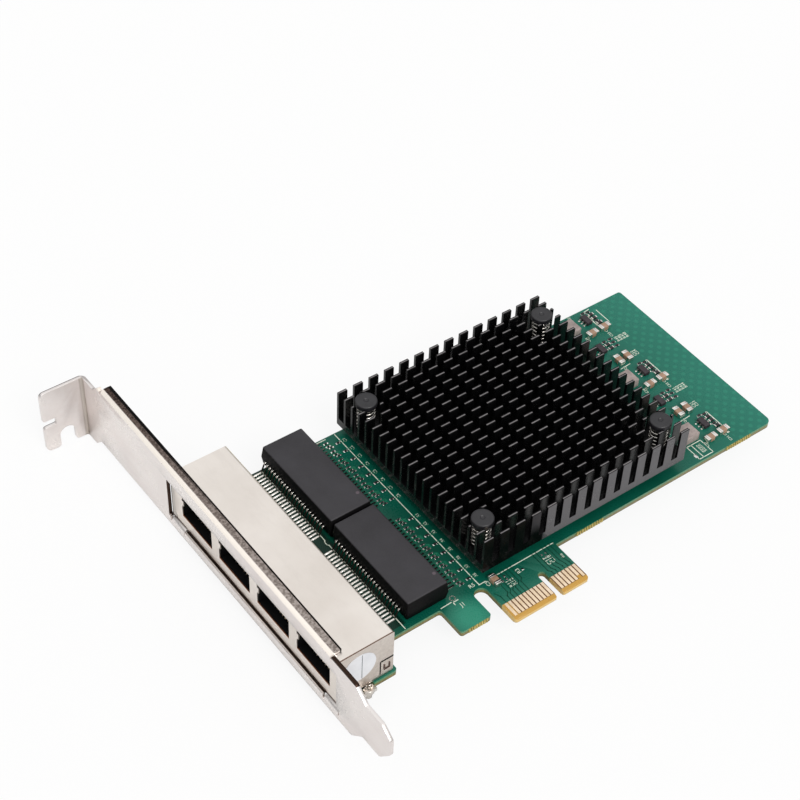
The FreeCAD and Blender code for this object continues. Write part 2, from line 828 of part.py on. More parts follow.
FIN_ROWS = 21
FIN_COLUMNS = 14
sink_block = block(
    "SinkBlock",
    ("sinkStart", "sinkLow", "sinkStand"),
    ("sinkLength", "sinkWidth", "sinkHeight"),
)
channels = []
for i in range(FIN_ROWS - 1):
    channels.append(block(
        "Channel%d" % i,
        ("sinkStart - 1", "sinkLow + finThickness + %d * finPitch" % i, "sinkStand + sinkBase"),
        ("sinkLength + 2", "finPitch - finThickness", "sinkHeight"),
    ))
comb = cut("SinkComb", sink_block, group("SinkChannels", channels))
crosscuts = []
for i in range(FIN_COLUMNS - 1):
    crosscuts.append(block(
        "CrossCut%d" % i,
        ("sinkStart + finSegment + %d * segmentPitch" % i, "sinkLow - 1", "sinkStand + sinkBase"),
        ("segmentPitch - finSegment", "sinkWidth + 2", "sinkHeight"),
    ))
pin_wells = []
for i, (x, y) in enumerate(PIN_PLACES):
    pin_wells.append(rod("PinWell%d" % i, (x, y, "sinkStand + sinkBase"), "pinClearRadius", "sinkHeight"))
pin_bores = []
for i, (x, y) in enumerate(PIN_PLACES):
    pin_bores.append(rod("PinBore%d" % i, (x, y, "sinkStand - 1"), "pinHoleRadius", "sinkHeight"))
crossed = cut("SinkCrossed", comb, group("SinkCrossCuts", crosscuts))
welled = cut("SinkWelled", crossed, group("SinkWells", pin_wells))
keep("heat_sink", cut("HeatSink", welled, group("SinkBores", pin_bores)))

# ---------------------------------------------------------------- push pins and springs


SPRING_SIDES = 10


def push_pin():
    """A moulded pin: head, shaft and a split barb that snaps under the board."""
    top = size("pinHeadTop")
    head_low = top - size("pinHeadHeight")
    under = -size("boardThickness")
    tip = size("pinTip")
    profile = [
        (0, top),
        (size("pinHeadRadius"), top),
        (size("pinHeadRadius"), head_low),
        (size("pinShaftRadius"), head_low),
        (size("pinShaftRadius"), under),
        (size("pinBarbRadius"), under),
        (size("pinShaftRadius") * 0.6, tip),
        (0, tip),
    ]
    points = [Vector(r, 0, z) for r, z in profile]
    face = Part.Face(Part.makePolygon(points + [points[0]]))
    pin = face.revolve(Vector(), Vector(0, 0, 1), 360)
    slot = Part.makeBox(5, 0.5, 1.5 - tip, Vector(-2.5, -0.25, tip - 1))
    return pin.cut(slot)


def pin_spring():
    """An open coil between the sink's base and the pin's head, bent in equal straight steps."""
    wire = size("springWire") / 2
    low = size("sinkStand") + size("sinkBase") + wire + 0.01
    high = size("pinHeadTop") - size("pinHeadHeight") - wire - 0.01
    steps = SPRING_SIDES * int(size("springTurns"))
    rings = []
    for k in range(steps + 1):
        turn = 2 * math.pi * k / SPRING_SIDES
        level = low + (high - low) * k / steps
        ring = []
        for out, up in ((wire, wire), (-wire, wire), (-wire, -wire), (wire, -wire)):
            reach = size("springRadius") + out
            ring.append(Vector(reach * math.cos(turn), reach * math.sin(turn), level + up))
        rings.append(ring)
    faces = [Part.Face(Part.makePolygon(ring + [ring[0]])) for ring in (rings[0], rings[-1])]
    for near, far in zip(rings, rings[1:]):
        for i in range(4):
            j = (i + 1) % 4
            for three in ((near[i], near[j], far[j]), (near[i], far[j], far[i])):
                faces.append(Part.Face(Part.makePolygon([*three, three[0]])))
    return Part.makeSolid(Part.makeShell(faces))


pin = push_pin()
spring = pin_spring()
pin_spots = [(worth(x), worth(y)) for x, y in PIN_PLACES]
keep("push_pins", shaped("PushPins", [placed(pin, x, y, 0) for x, y in pin_spots]))
keep("push_pin_springs", shaped("PushPinSprings", [placed(spring, x, y, 0) for x, y in pin_spots]))

# ---------------------------------------------------------------- controller and thermal pad

controller_base = block(
    "ControllerBase",
    ("chipCentreX - chipSize / 2", "chipCentreY - chipSize / 2", "0"),
    ("chipSize", "chipSize", "chipBase"),
)
controller_top = block(
    "ControllerTop",
    ("chipCentreX - dieSize / 2", "chipCentreY - dieSize / 2", "chipBase"),
    ("dieSize", "dieSize", "dieHeight - chipBase"),
)
keep("controller_chip", joined("Controller", [controller_base, controller_top]))
keep("thermal_pad", block(
    "ThermalPad",
    ("chipCentreX - padSize / 2", "chipCentreY - padSize / 2", "dieHeight"),
    ("padSize", "padSize", "sinkStand - dieHeight"),
))

# ---------------------------------------------------------------- power cells at the far end

CELLS = range(3)
GAPS = range(2)


def cell_row(i):
    return size("cellY") + i * size("cellPitch")


def inductor():
    side = size("inductorSize")
    foot = size("inductorFoot")
    body = Part.makeBox(side, side, size("inductorHeight") - foot, Vector(-side / 2, -side / 2, foot))
    edges = [e for e in body.Edges if abs(e.BoundBox.ZLength - size("inductorHeight") + foot) < 1e-6]
    return body.makeChamfer(size("inductorCorner"), edges)


def small_outline_leads(length, width, steps, reach):
    """Straight stub leads that stand on the board on both long sides of a small package."""
    solids = []
    half = size("leadThickness") / 2
    for way in (-1, 1):
        edge = way * width / 2
        path = [(edge, 0.5), (edge + way * 0.25, 0.5), (edge + way * 0.4, half), (edge + way * reach, half)]
        for k in range(steps):
            row = (k - (steps - 1) / 2) * length / steps
            solids.append(ribbon(path, size("leadThickness"), row - 0.2, 0.4))
    return solids


def chip_pair(length, width, height, end):
    """A ceramic chip lying along X, and its two metal ends, side by side."""
    inner = length - 2 * end
    body = Part.makeBox(inner, width, height, Vector(-inner / 2, -width / 2, 0))
    ends = [
        Part.makeBox(end, width, height, Vector(-length / 2, -width / 2, 0)),
        Part.makeBox(end, width, height, Vector(inner / 2, -width / 2, 0)),
    ]
    return body, ends


keep("power_inductors", shaped("PowerInductors", [
    placed(inductor(), size("cellX"), cell_row(i), 0) for i in CELLS
]))
inductor_pads = []
for i in CELLS:
    for way in (-1, 1):
        inductor_pads.append(Part.makeBox(
            size("inductorSize") - 1.2,
            1.2,
            size("inductorFoot"),
            Vector(
                size("cellX") - size("inductorSize") / 2 + 0.6,
                cell_row(i) + way * (size("inductorSize") / 2 - 0.7) - 0.6,
                0,
            ),
        ))
keep("inductor_terminals", shaped("InductorTerminals", inductor_pads))

# offsets of the small parts from a cell's inductor, along X and Y
REGULATOR = (6.4, 0.9)
SWITCH = (2.7, 12.4)
CAPS_ALONG_X = [(8.6, -3.5), (4.5, -3.7)]
CAPS_ALONG_Y = [(3.7, 6.9), (6.4, 6.9)]
RESISTORS = [(8.95, 2.1), (8.95, 0.8), (8.95, -1.25)]
GAP_RESISTORS = [(5.3, 11.6), (5.3, 13.0)]

regulator_body = Part.makeBox(
    size("regulatorWidth"),
    size("regulatorLength"),
    size("regulatorHeight") - 0.1,
    Vector(-size("regulatorWidth") / 2, -size("regulatorLength") / 2, 0.1),
)
three_legs = small_outline_leads(size("regulatorLength"), size("regulatorWidth"), 3, size("stubLeadReach"))
two_legs = small_outline_leads(size("regulatorLength"), size("regulatorWidth"), 2, size("stubLeadReach"))
cap_body, cap_ends = chip_pair(size("capLength"), size("capWidth"), size("capHeight"), size("capEnd"))
resistor_body, resistor_ends = chip_pair(
    size("resistorLength"), size("resistorWidth"), size("resistorHeight"), size("resistorEnd")
)

regulators = []
legs = []
for i in CELLS:
    spot = (size("cellX") + REGULATOR[0], cell_row(i) + REGULATOR[1], 0)
    regulators.append(placed(regulator_body, *spot))
    legs += [placed(leg, *spot) for leg in three_legs]
keep("regulator_chips", shaped("RegulatorChips", regulators))
keep("regulator_leads", shaped("RegulatorLeads", legs))

switches = []
switch_legs = []
for i in GAPS:
    spot = (size("cellX") + SWITCH[0], cell_row(i) + SWITCH[1], 0)
    switches.append(placed(regulator_body, *spot))
    switch_legs += [placed(leg, *spot) for leg in two_legs]
keep("switch_chips", shaped("SwitchChips", switches))
keep("switch_leads", shaped("SwitchLeads", switch_legs))

cap_spots = [(dx, cell_row(i) + dy, 0) for i in CELLS for dx, dy in CAPS_ALONG_X]
cap_spots += [(dx, cell_row(i) + dy, 90) for i in GAPS for dx, dy in CAPS_ALONG_Y]
cap_spots = [(size("cellX") + dx, y, turn) for dx, y, turn in cap_spots]
cap_spots.append((46.4, 10.9, 90))
keep("ceramic_capacitors", shaped("CeramicCapacitors", [
    placed(cap_body, x, y, 0, turn) for x, y, turn in cap_spots
]))
keep("capacitor_ends", shaped("CapacitorEnds", [
    placed(end, x, y, 0, turn) for x, y, turn in cap_spots for end in cap_ends
]))

resistor_spots = [(size("cellX") + dx, cell_row(i) + dy) for i in CELLS for dx, dy in RESISTORS]
resistor_spots += [(size("cellX") + dx, cell_row(i) + dy) for i in GAPS for dx, dy in GAP_RESISTORS]
keep("chip_resistors", shaped("ChipResistors", [
    placed(resistor_body, x, y, 0) for x, y in resistor_spots
]))
keep("resistor_ends", shaped("ResistorEnds", [
    placed(end, x, y, 0) for x, y in resistor_spots for end in resistor_ends
]))

# ---------------------------------------------------------------- inspection label on the shield's side

label = rod("Label", ("labelCentre", "jackLow", "labelHeight"), "labelRadius", "labelThickness")
label.Placement = Placement(label.Placement.Base, Rotation(Vector(1, 0, 0), 90))
keep("inspection_label", label)

# ---------------------------------------------------------------- checks, then one file for each node

doc.recompute()
failed = [thing.Name for thing in doc.Objects if "Invalid" in thing.State or "Error" in thing.State]
if failed:
    raise RuntimeError("not built: " + ", ".join(failed))
for node in nodes:
    if node.Shape.isNull() or not node.Shape.isValid():
        raise RuntimeError("%s has no valid shape" % node.Label)
for node in nodes:
    node.Shape.exportStep("parts/%s.step" % node.Label)
    box = node.Shape.BoundBox
    print("%-22s %3d solids  z %.2f to %.2f" % (node.Label, len(node.Shape.Solids), box.ZMin, box.ZMax))
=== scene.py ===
import json
import math

import bpy
from mathutils import Matrix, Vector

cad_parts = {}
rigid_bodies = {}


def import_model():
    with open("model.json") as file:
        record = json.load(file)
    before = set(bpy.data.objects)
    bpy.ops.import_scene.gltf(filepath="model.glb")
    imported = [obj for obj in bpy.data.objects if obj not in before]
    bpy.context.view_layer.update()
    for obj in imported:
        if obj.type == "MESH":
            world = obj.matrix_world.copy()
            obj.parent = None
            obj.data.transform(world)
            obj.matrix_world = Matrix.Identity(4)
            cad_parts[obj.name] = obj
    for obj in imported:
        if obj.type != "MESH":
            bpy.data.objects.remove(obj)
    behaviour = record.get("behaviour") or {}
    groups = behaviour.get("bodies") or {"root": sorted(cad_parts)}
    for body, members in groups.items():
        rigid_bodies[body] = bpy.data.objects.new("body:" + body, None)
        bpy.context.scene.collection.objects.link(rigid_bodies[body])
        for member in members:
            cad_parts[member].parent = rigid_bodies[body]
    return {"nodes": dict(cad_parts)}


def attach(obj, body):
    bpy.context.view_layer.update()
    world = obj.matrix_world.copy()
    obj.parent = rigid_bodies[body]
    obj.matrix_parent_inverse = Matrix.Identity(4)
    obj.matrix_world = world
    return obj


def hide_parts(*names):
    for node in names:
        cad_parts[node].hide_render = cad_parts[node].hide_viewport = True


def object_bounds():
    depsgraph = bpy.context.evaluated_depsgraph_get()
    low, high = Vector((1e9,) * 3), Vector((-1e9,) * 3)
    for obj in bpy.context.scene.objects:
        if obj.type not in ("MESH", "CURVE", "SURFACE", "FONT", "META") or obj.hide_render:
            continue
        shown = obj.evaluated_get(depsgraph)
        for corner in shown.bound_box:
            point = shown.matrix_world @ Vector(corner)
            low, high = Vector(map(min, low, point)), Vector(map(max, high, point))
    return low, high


# four-port network card: finishes, board print, solder, springs and soft edges
# everything is in metres, and the card's own places are given in mm
mm = 0.001
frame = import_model()
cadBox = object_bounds()
cardNodes = frame["nodes"]
print("card loaded,", len(cardNodes), "nodes")

view = {
    "place": (-0.12451, -0.17128, 0.30467), "turn": (43.303, -3.887, -38.238),
    "lens": 81.5, "shift": (-0.1136, 0.0642), "nearest": 0.01,
}
bpy.ops.object.camera_add(location=view["place"], rotation=[math.radians(a) for a in view["turn"]])
camera = bpy.context.object
camera.name = "cardCamera"
camera.data.lens = view["lens"]
camera.data.shift_x, camera.data.shift_y = view["shift"]
camera.data.clip_start = view["nearest"]
bpy.context.scene.camera = camera
bpy.context.scene.view_settings.view_transform = "Standard"

lampSpot = (0, 0, 0.5)
lamps = {
    "keyLamp": {"turn": (38, -22, 20), "strength": 1.25, "spread": 28, "colour": (1.0, 0.985, 0.96)},
    "sideLamp": {"turn": (52, 30, -60), "strength": 0.35, "spread": 50, "colour": (0.95, 0.98, 1.0)},
}
for lampName, lamp in lamps.items():
    lampTurn = [math.radians(a) for a in lamp["turn"]]
    bpy.ops.object.light_add(type="SUN", location=lampSpot, rotation=lampTurn)
    sun = bpy.context.object
    sun.name = lampName
    sun.data.energy = lamp["strength"]
    sun.data.angle = math.radians(lamp["spread"])
    sun.data.color = lamp["colour"]

# plain sky: soft light on the card, and a white ceiling over darker walls in what shines
sky = {"strength": 0.62, "walls": 0.40, "ceiling": 1.0, "wallTop": 0.48, "ceilingStart": 0.62}
world = bpy.data.worlds.new("studioSky")
world.use_nodes = True
bpy.context.scene.world = world
skyTree = world.node_tree
skyBack = skyTree.nodes["Background"]
skyBack.inputs["Color"].default_value = (1, 1, 1, 1)
skyPath = skyTree.nodes.new("ShaderNodeLightPath")
skyWay = skyTree.nodes.new("ShaderNodeTexCoord")
skySplit = skyTree.nodes.new("ShaderNodeSeparateXYZ")
skyTree.links.new(skyWay.outputs["Generated"], skySplit.inputs[0])
skyRise = skyTree.nodes.new("ShaderNodeMapRange")
skyRise.inputs["From Min"].default_value = sky["wallTop"]
skyRise.inputs["From Max"].default_value = sky["ceilingStart"]
skyRise.inputs["To Min"].default_value = sky["walls"]
skyRise.inputs["To Max"].default_value = sky["ceiling"]
skyTree.links.new(skySplit.outputs["Z"], skyRise.inputs["Value"])
skyGloss = skyTree.nodes.new("ShaderNodeMapRange")
skyGloss.inputs["To Min"].default_value = sky["strength"]
skyTree.links.new(skyPath.outputs["Is Glossy Ray"], skyGloss.inputs["Value"])
skyTree.links.new(skyRise.outputs[0], skyGloss.inputs["To Max"])
skySeen = skyTree.nodes.new("ShaderNodeMapRange")
skySeen.inputs["To Max"].default_value = 1.0
skyTree.links.new(skyPath.outputs["Is Camera Ray"], skySeen.inputs["Value"])
skyTree.links.new(skyGloss.outputs[0], skySeen.inputs["To Min"])
skyTree.links.new(skySeen.outputs[0], skyBack.inputs["Strength"])

floor = {
    "size": 4.0, "centre": (0.06, 0.04), "gap": 0.15 * mm,
    "colour": (0.94, 0.94, 0.94, 1), "rough": 0.9, "specular": 0.1, "lift": 0.88,
}
floorLevel = cadBox[0].z - floor["gap"]
bpy.ops.mesh.primitive_plane_add(size=floor["size"], location=(*floor["centre"], floorLevel))
floorPlane = bpy.context.object
floorPlane.name = "studioFloor"
floorPaper = bpy.data.materials.new("floorPaper")
floorPaper.use_nodes = True
paperTree = floorPaper.node_tree
paperShader = paperTree.nodes["Principled BSDF"]
paperShader.inputs["Base Color"].default_value = floor["colour"]
paperShader.inputs["Roughness"].default_value = floor["rough"]
paperShader.inputs["Specular IOR Level"].default_value = floor["specular"]
paperGlow = paperTree.nodes.new("ShaderNodeEmission")
paperGlow.inputs["Color"].default_value = (1, 1, 1, 1)
paperPath = paperTree.nodes.new("ShaderNodeLightPath")
paperLift = paperTree.nodes.new("ShaderNodeMath")
paperLift.operation = "MULTIPLY"
paperLift.inputs[1].default_value = floor["lift"]
paperMix = paperTree.nodes.new("ShaderNodeMixShader")
paperTree.links.new(paperPath.outputs["Is Camera Ray"], paperLift.inputs[0])
paperTree.links.new(paperLift.outputs[0], paperMix.inputs[0])
paperTree.links.new(paperShader.outputs[0], paperMix.inputs[1])
paperTree.links.new(paperGlow.outputs[0], paperMix.inputs[2])
paperTree.links.new(paperMix.outputs[0], paperTree.nodes["Material Output"].inputs["Surface"])
floorPlane.data.materials.append(floorPaper)
print("camera, lamps, sky and floor set")


# node helpers: each takes numbers or sockets and gives back a socket
def feed(tree, socket, value):
    if isinstance(value, bpy.types.NodeSocket):
        tree.links.new(value, socket)
    else:
        socket.default_value = value


def shade(code):
    # a screen colour code as the linear numbers that a shader socket takes
    parts = [int(code[i:i + 2], 16) / 255 for i in (1, 3, 5)]
    return [p / 12.92 if p <= 0.04045 else ((p + 0.055) / 1.055) ** 2.4 for p in parts] + [1]


def mixColour(tree, factor, first, second):
    mix = tree.nodes.new("ShaderNodeMix")
    mix.data_type = "RGBA"
    feed(tree, mix.inputs[0], factor)
    for socket, colour in ((6, first), (7, second)):
        feed(tree, mix.inputs[socket], shade(colour) if isinstance(colour, str) else colour)
    return mix.outputs[2]


def sums(tree, kind, first, second):
    node = tree.nodes.new("ShaderNodeMath")
    node.operation = kind
    node.use_clamp = True
    feed(tree, node.inputs[0], first)
    feed(tree, node.inputs[1], second)
    return node.outputs[0]


def both(tree, *masks):
    whole = masks[0]
    for mask in masks[1:]:
        whole = sums(tree, "MULTIPLY", whole, mask)
    return whole


def noiseOver(tree, coords, scale, detail=3.0, rough=0.55, stretch=None):
    source = coords
    if stretch:
        mapping = tree.nodes.new("ShaderNodeMapping")
        mapping.inputs["Scale"].default_value = stretch
        tree.links.new(coords, mapping.inputs["Vector"])
        source = mapping.outputs[0]
    noise = tree.nodes.new("ShaderNodeTexNoise")
    noise.inputs["Scale"].default_value = scale
    noise.inputs["Detail"].default_value = detail
    noise.inputs["Roughness"].default_value = rough
    tree.links.new(source, noise.inputs["Vector"])
    return noise.outputs["Fac"]


def spread(tree, value, low, high, fromLow=0.3, fromHigh=0.7):
    node = tree.nodes.new("ShaderNodeMapRange")
    for key, number in (("From Min", fromLow), ("From Max", fromHigh), ("To Min", low), ("To Max", high)):
        node.inputs[key].default_value = number
    tree.links.new(value, node.inputs["Value"])
    return node.outputs[0]


def above(tree, value, edge, blur=0.05):
    return spread(tree, value, 0.0, 1.0, (edge - blur) * mm, (edge + blur) * mm)


def below(tree, value, edge, blur=0.05):
    return spread(tree, value, 1.0, 0.0, (edge - blur) * mm, (edge + blur) * mm)


def between(tree, value, low, high, blur=0.03):
    return both(tree, above(tree, value, low, blur), below(tree, value, high, blur))


def splitAxes(tree, vector):
    split = tree.nodes.new("ShaderNodeSeparateXYZ")
    tree.links.new(vector, split.inputs[0])
    return split.outputs


def facing(tree, letter, low, high):
    # 1 where the surface's own normal leans that far along an axis
    normal = splitAxes(tree, tree.nodes.new("ShaderNodeNewGeometry").outputs["Normal"])
    return spread(tree, normal[letter], 0.0, 1.0, low, high)


def nearSpot(tree, coords, spot, radius, blur=0.08):
    reach = tree.nodes.new("ShaderNodeVectorMath")
    reach.operation = "DISTANCE"
    reach.inputs[1].default_value = [s * mm for s in spot]
    tree.links.new(coords, reach.inputs[0])
    return below(tree, reach.outputs["Value"], radius, blur)


glossSpread = {"less": 0.04, "more": 0.05}


def newFinish(
        name, light, dark, rough, metal=0.0, specular=0.5, patch=300, grain=5000, bump=0.05, dip=0.02):
    # patches between two tones, uneven gloss and a fine skin of bumps
    finish = bpy.data.materials.new(name)
    finish.use_nodes = True
    tree = finish.node_tree
    shader = tree.nodes["Principled BSDF"]
    shader.inputs["Metallic"].default_value = metal
    shader.inputs["Specular IOR Level"].default_value = specular
    coords = tree.nodes.new("ShaderNodeTexCoord").outputs["Object"]
    patches = noiseOver(tree, coords, patch)
    skin = noiseOver(tree, coords, grain, detail=2.0)
    tone = mixColour(tree, spread(tree, patches, 0.0, 1.0), light, dark)
    tree.links.new(tone, shader.inputs["Base Color"])
    less, more = glossSpread["less"], glossSpread["more"]
    gloss = sums(
        tree, "ADD", spread(tree, patches, -less, more), spread(tree, skin, rough - less, rough + more))
    tree.links.new(gloss, shader.inputs["Roughness"])
    relief = tree.nodes.new("ShaderNodeBump")
    relief.inputs["Strength"].default_value = bump
    relief.inputs["Distance"].default_value = dip * mm
    tree.links.new(skin, relief.inputs["Height"])
    tree.links.new(relief.outputs[0], shader.inputs["Normal"])
    return finish, tree, shader, coords, tone


def painted(tree, tone, look, **masks):
    # lays the look's colour of each name over the tone, where the mask given for it is
    for colour, mask in masks.items():
        tone = mixColour(tree, mask, tone, look[colour])
    return tone


# some tones below are painted by place: they follow the way light falls on the card from the camera's
# side, and stay the same from every side
boardFinish = {
    "mask": "#085C4B", "maskDark": "#044838", "rough": 0.28, "specular": 0.22,
    # the far-end tone is a painted reflection
    "farEnd": "#2D8270", "farFrom": 96, "farTo": 131, "farMost": 0.8,
    "front": "#3A8F78", "frontFrom": 6, "frontTo": 13, "frontMost": 0.30,
    # the anchor tone is a painted highlight
    "anchor": "#3FA488", "anchorSpot": (36.5, 6.4, 0), "anchorRadius": 4.2, "anchorBlur": 2.2, "anchorMost": 0.6,
    # the tone between the leads is painted shade
    "betweenLeads": "#04241B", "leadsSpan": (20.3, 24.0), "leadsStart": 13.0,
    "weave": "#147A5E", "weaveTurn": 45, "weaveScale": 700, "weaveBend": 0.6, "weaveMost": 0.10,
    "dots": "#389A7E", "dotPitch": 2.1, "dotsFrom": 120.5, "dotEdge": (0.20, 0.34), "dotMost": 0.30,
    "laminate": "#C79A4C", "betweenContacts": "#6E4A2C", "tongueSide": "#D8B878",
    "tongueStart": 43.5, "tongueMargin": 45.25, "contactsEnd": 4.95, "bevelEnd": 1.0,
    "shortContact": (62.2, 63.1), "shortEnd": 1.95,
    "sideHigh": "#5E8F6C", "sideLow": "#86794A", "sideLine": "#3F4A2E", "sideSplit": -0.62, "scoreTop": -1.38,
    "fibreScale": 1500, "fibreMost": 0.35, "sideLean": (0.35, 0.6),
}


def makeSolderMask():
    look = boardFinish
    finish, tree, shader, coords, tone = newFinish(
        "solderMaskGreen", look["mask"], look["maskDark"], look["rough"],
        specular=look["specular"], patch=55, grain=2500, bump=0.12, dip=0.04)
    x, y, z = splitAxes(tree, coords)
    # painted reflection: the mask is lighter towards the far end
    farEnd = spread(tree, x, 0.0, look["farMost"], look["farFrom"] * mm, look["farTo"] * mm)
    front = spread(tree, y, look["frontMost"], 0.0, look["frontFrom"] * mm, look["frontTo"] * mm)
    # painted highlight: a soft round pool of lighter green near the anchor spot
    anchor = nearSpot(tree, coords, look["anchorSpot"], look["anchorRadius"], look["anchorBlur"])
    anchor = sums(tree, "MULTIPLY", anchor, look["anchorMost"])
    # painted shade: darker green under and between the module legs
    underLegs = both(tree, between(tree, x, *look["leadsSpan"], blur=0.3), above(tree, y, look["leadsStart"]))
    tone = painted(tree, tone, look, farEnd=farEnd, front=front, anchor=anchor, betweenLeads=underLegs)
    # weave of the glass cloth just showing through
    turned = tree.nodes.new("ShaderNodeMapping")
    turned.inputs["Rotation"].default_value = (0, 0, math.radians(look["weaveTurn"]))
    tree.links.new(coords, turned.inputs["Vector"])
    weave = tree.nodes.new("ShaderNodeTexWave")
    weave.inputs["Scale"].default_value = look["weaveScale"]
    weave.inputs["Distortion"].default_value = look["weaveBend"]
    tree.links.new(turned.outputs[0], weave.inputs["Vector"])
    threads = spread(tree, weave.outputs["Fac"], 0.0, look["weaveMost"], 0, 1)
    # copper dots under the mask on the bare far end
    flatten = tree.nodes.new("ShaderNodeVectorMath")
    flatten.operation = "MULTIPLY"
    flatten.inputs[1].default_value = (1, 1, 0)
    tree.links.new(turned.outputs[0], flatten.inputs[0])
    cells = tree.nodes.new("ShaderNodeTexVoronoi")
    cells.inputs["Scale"].default_value = 1 / (look["dotPitch"] * mm)
    cells.inputs["Randomness"].default_value = 0.0
    tree.links.new(flatten.outputs[0], cells.inputs["Vector"])
    dots = spread(tree, cells.outputs["Distance"], look["dotMost"], 0.0, *look["dotEdge"])
    dots = both(tree, dots, above(tree, x, look["dotsFrom"]))
    tone = painted(tree, tone, look, weave=threads, dots=dots)
    # bare laminate on the edge connector's tongue
    onTongue = both(tree, above(tree, x, look["tongueStart"]), below(tree, y, look["contactsEnd"]))
    bare = mixColour(tree, above(tree, y, look["bevelEnd"]), look["laminate"], look["betweenContacts"])
    shortSpot = both(tree, between(tree, x, *look["shortContact"]), below(tree, y, look["shortEnd"]))
    noContact = sums(tree, "MAXIMUM", shortSpot, below(tree, x, look["tongueMargin"]))
    bare = mixColour(tree, noContact, bare, look["laminate"])
    tone = mixColour(tree, onTongue, tone, bare)
    # cut sides: mask green above, bare glass and resin below, a scored line at the bottom
    side = mixColour(tree, below(tree, z, look["sideSplit"], blur=0.12), look["sideHigh"], look["sideLow"])
    side = mixColour(tree, below(tree, z, look["scoreTop"], blur=0.08), side, look["sideLine"])
    fibres = spread(tree, noiseOver(tree, coords, look["fibreScale"]), 0.0, look["fibreMost"])
    side = painted(tree, side, look, sideLine=fibres, tongueSide=onTongue)
    normal = splitAxes(tree, tree.nodes.new("ShaderNodeNewGeometry").outputs["Normal"])
    flat = tree.nodes.new("ShaderNodeMath")
    flat.operation = "ABSOLUTE"
    tree.links.new(normal["Z"], flat.inputs[0])
    tone = mixColour(tree, spread(tree, flat.outputs[0], 1.0, 0.0, *look["sideLean"]), tone, side)
    tree.links.new(tone, shader.inputs["Base Color"])
    return finish


bracketFinish = {
    "light": "#F1ECE9", "dark": "#E4DCD9", "rough": 0.30,
    "rolled": "#FFFFFF", "rolledScale": 900, "rolledStretch": (1, 0.03, 1), "rolledMost": 0.10,
    # the flange-top band tones are a painted dark reflection
    "band": "#B0A6A0", "bandSpeck": "#7D736D", "bandFar": "#6E5A52", "bandFarSpeck": "#3E302B",
    "bandFrom": 1.0, "flangeTop": 13.90, "farFrom": 25, "farTo": 97, "speckScale": 1500, "speckEdge": (0.42, 0.58),
    # the line tone is a painted shadow at the flange's back edge
    "line": "#14100F", "lineHeight": 13.2, "lineFrom": 2.5, "lineFromFar": 2.15, "lineFarStart": 60,
    # the bend tone is a painted highlight
    "bend": "#FFF6EC", "bendFrom": 13.35, "bendStart": 6.3,
    # the corner, window, sill and tab-bend tones are painted shade
    "cornerEdge": "#3A2C25", "cornerFrom": 13.7, "cornerEnd": 6.1,
    "windowEdge": "#4A3A32", "windowSpan": (-1.9, 9.9), "windowEnd": (68.2, 69.0),
    "windowSill": "#4A3D35", "sillSpan": (-2.1, -1.6), "sillInner": 0.45,
    "tabBend": "#B9B0A8", "tabBendRise": (104.3, 105.1), "tabBendReach": (-0.8, 0.1),
    "tabLine": "#6E655F", "tabFrom": 105.72,
}


def makeBracketSheet():
    look = bracketFinish
    finish, tree, shader, coords, tone = newFinish(
        "nickelSheet", look["light"], look["dark"], look["rough"], metal=1.0, patch=45, grain=2600, bump=0.10)
    x, y, z = splitAxes(tree, coords)
    # faint rolling lines along the sheet
    lines = noiseOver(tree, coords, look["rolledScale"], detail=1.0, stretch=look["rolledStretch"])
    tone = mixColour(tree, spread(tree, lines, 0.0, look["rolledMost"]), tone, look["rolled"])
    # painted dark reflection: a speckled band along the top of the long flange, darker towards the far end, and a
    # painted shadow line at its back edge
    farther = spread(tree, y, 0.0, 1.0, look["farFrom"] * mm, look["farTo"] * mm)
    speck = noiseOver(tree, coords, look["speckScale"], detail=4.0, rough=0.7)
    speck = spread(tree, speck, 0.0, 1.0, *look["speckEdge"])
    band = mixColour(tree, speck, look["band"], look["bandSpeck"])
    bandFar = mixColour(tree, speck, look["bandFar"], look["bandFarSpeck"])
    band = mixColour(tree, farther, band, bandFar)
    onTop = both(tree, above(tree, z, look["flangeTop"]), above(tree, x, look["bandFrom"], blur=0.12))
    tone = mixColour(tree, onTop, tone, band)
    # painted shadow line at the flange's back edge, wider towards the far end
    nearLine = both(tree, above(tree, z, look["lineHeight"]), above(tree, x, look["lineFrom"]))
    farLine = both(
        tree, above(tree, z, look["lineHeight"]), above(tree, x, look["lineFromFar"]),
        above(tree, y, look["lineFarStart"], blur=12))
    # painted highlight: the rounded outer bend is a plain bright face, not a metal one
    bend = both(
        tree, above(tree, z, look["bendFrom"], blur=0.12), below(tree, x, look["bandFrom"], blur=0.10),
        above(tree, y, look["bendStart"]))
    tree.links.new(sums(tree, "SUBTRACT", 1.0, bend), shader.inputs["Metallic"])
    # painted shade on edges: the bottom corner, the port window and the screw tab's inner bend
    corner = both(tree, above(tree, z, look["cornerFrom"]), below(tree, y, look["cornerEnd"]))
    inHeight = between(tree, z, *look["windowSpan"])
    windowEnd = both(tree, inHeight, between(tree, y, *look["windowEnd"]), facing(tree, "Y", -0.4, -0.7))
    windowSill = both(
        tree, between(tree, z, *look["sillSpan"]), below(tree, y, look["windowEnd"][1]),
        above(tree, x, look["sillInner"]), facing(tree, "Z", 0.8, 0.95))
    innerBend = both(
        tree, between(tree, y, *look["tabBendRise"], blur=0.15),
        between(tree, x, *look["tabBendReach"], blur=0.15))
    # thin dark line round the screw tab's upper edge
    tabEdge = both(tree, above(tree, y, look["tabFrom"]), facing(tree, "Z", 0.3, 0.6))
    tone = painted(
        tree, tone, look, line=sums(tree, "MAXIMUM", nearLine, farLine), bend=bend, cornerEdge=corner,
        windowEdge=windowEnd, windowSill=windowSill, tabBend=innerBend, tabLine=tabEdge)
    tree.links.new(tone, shader.inputs["Base Color"])
    return finish


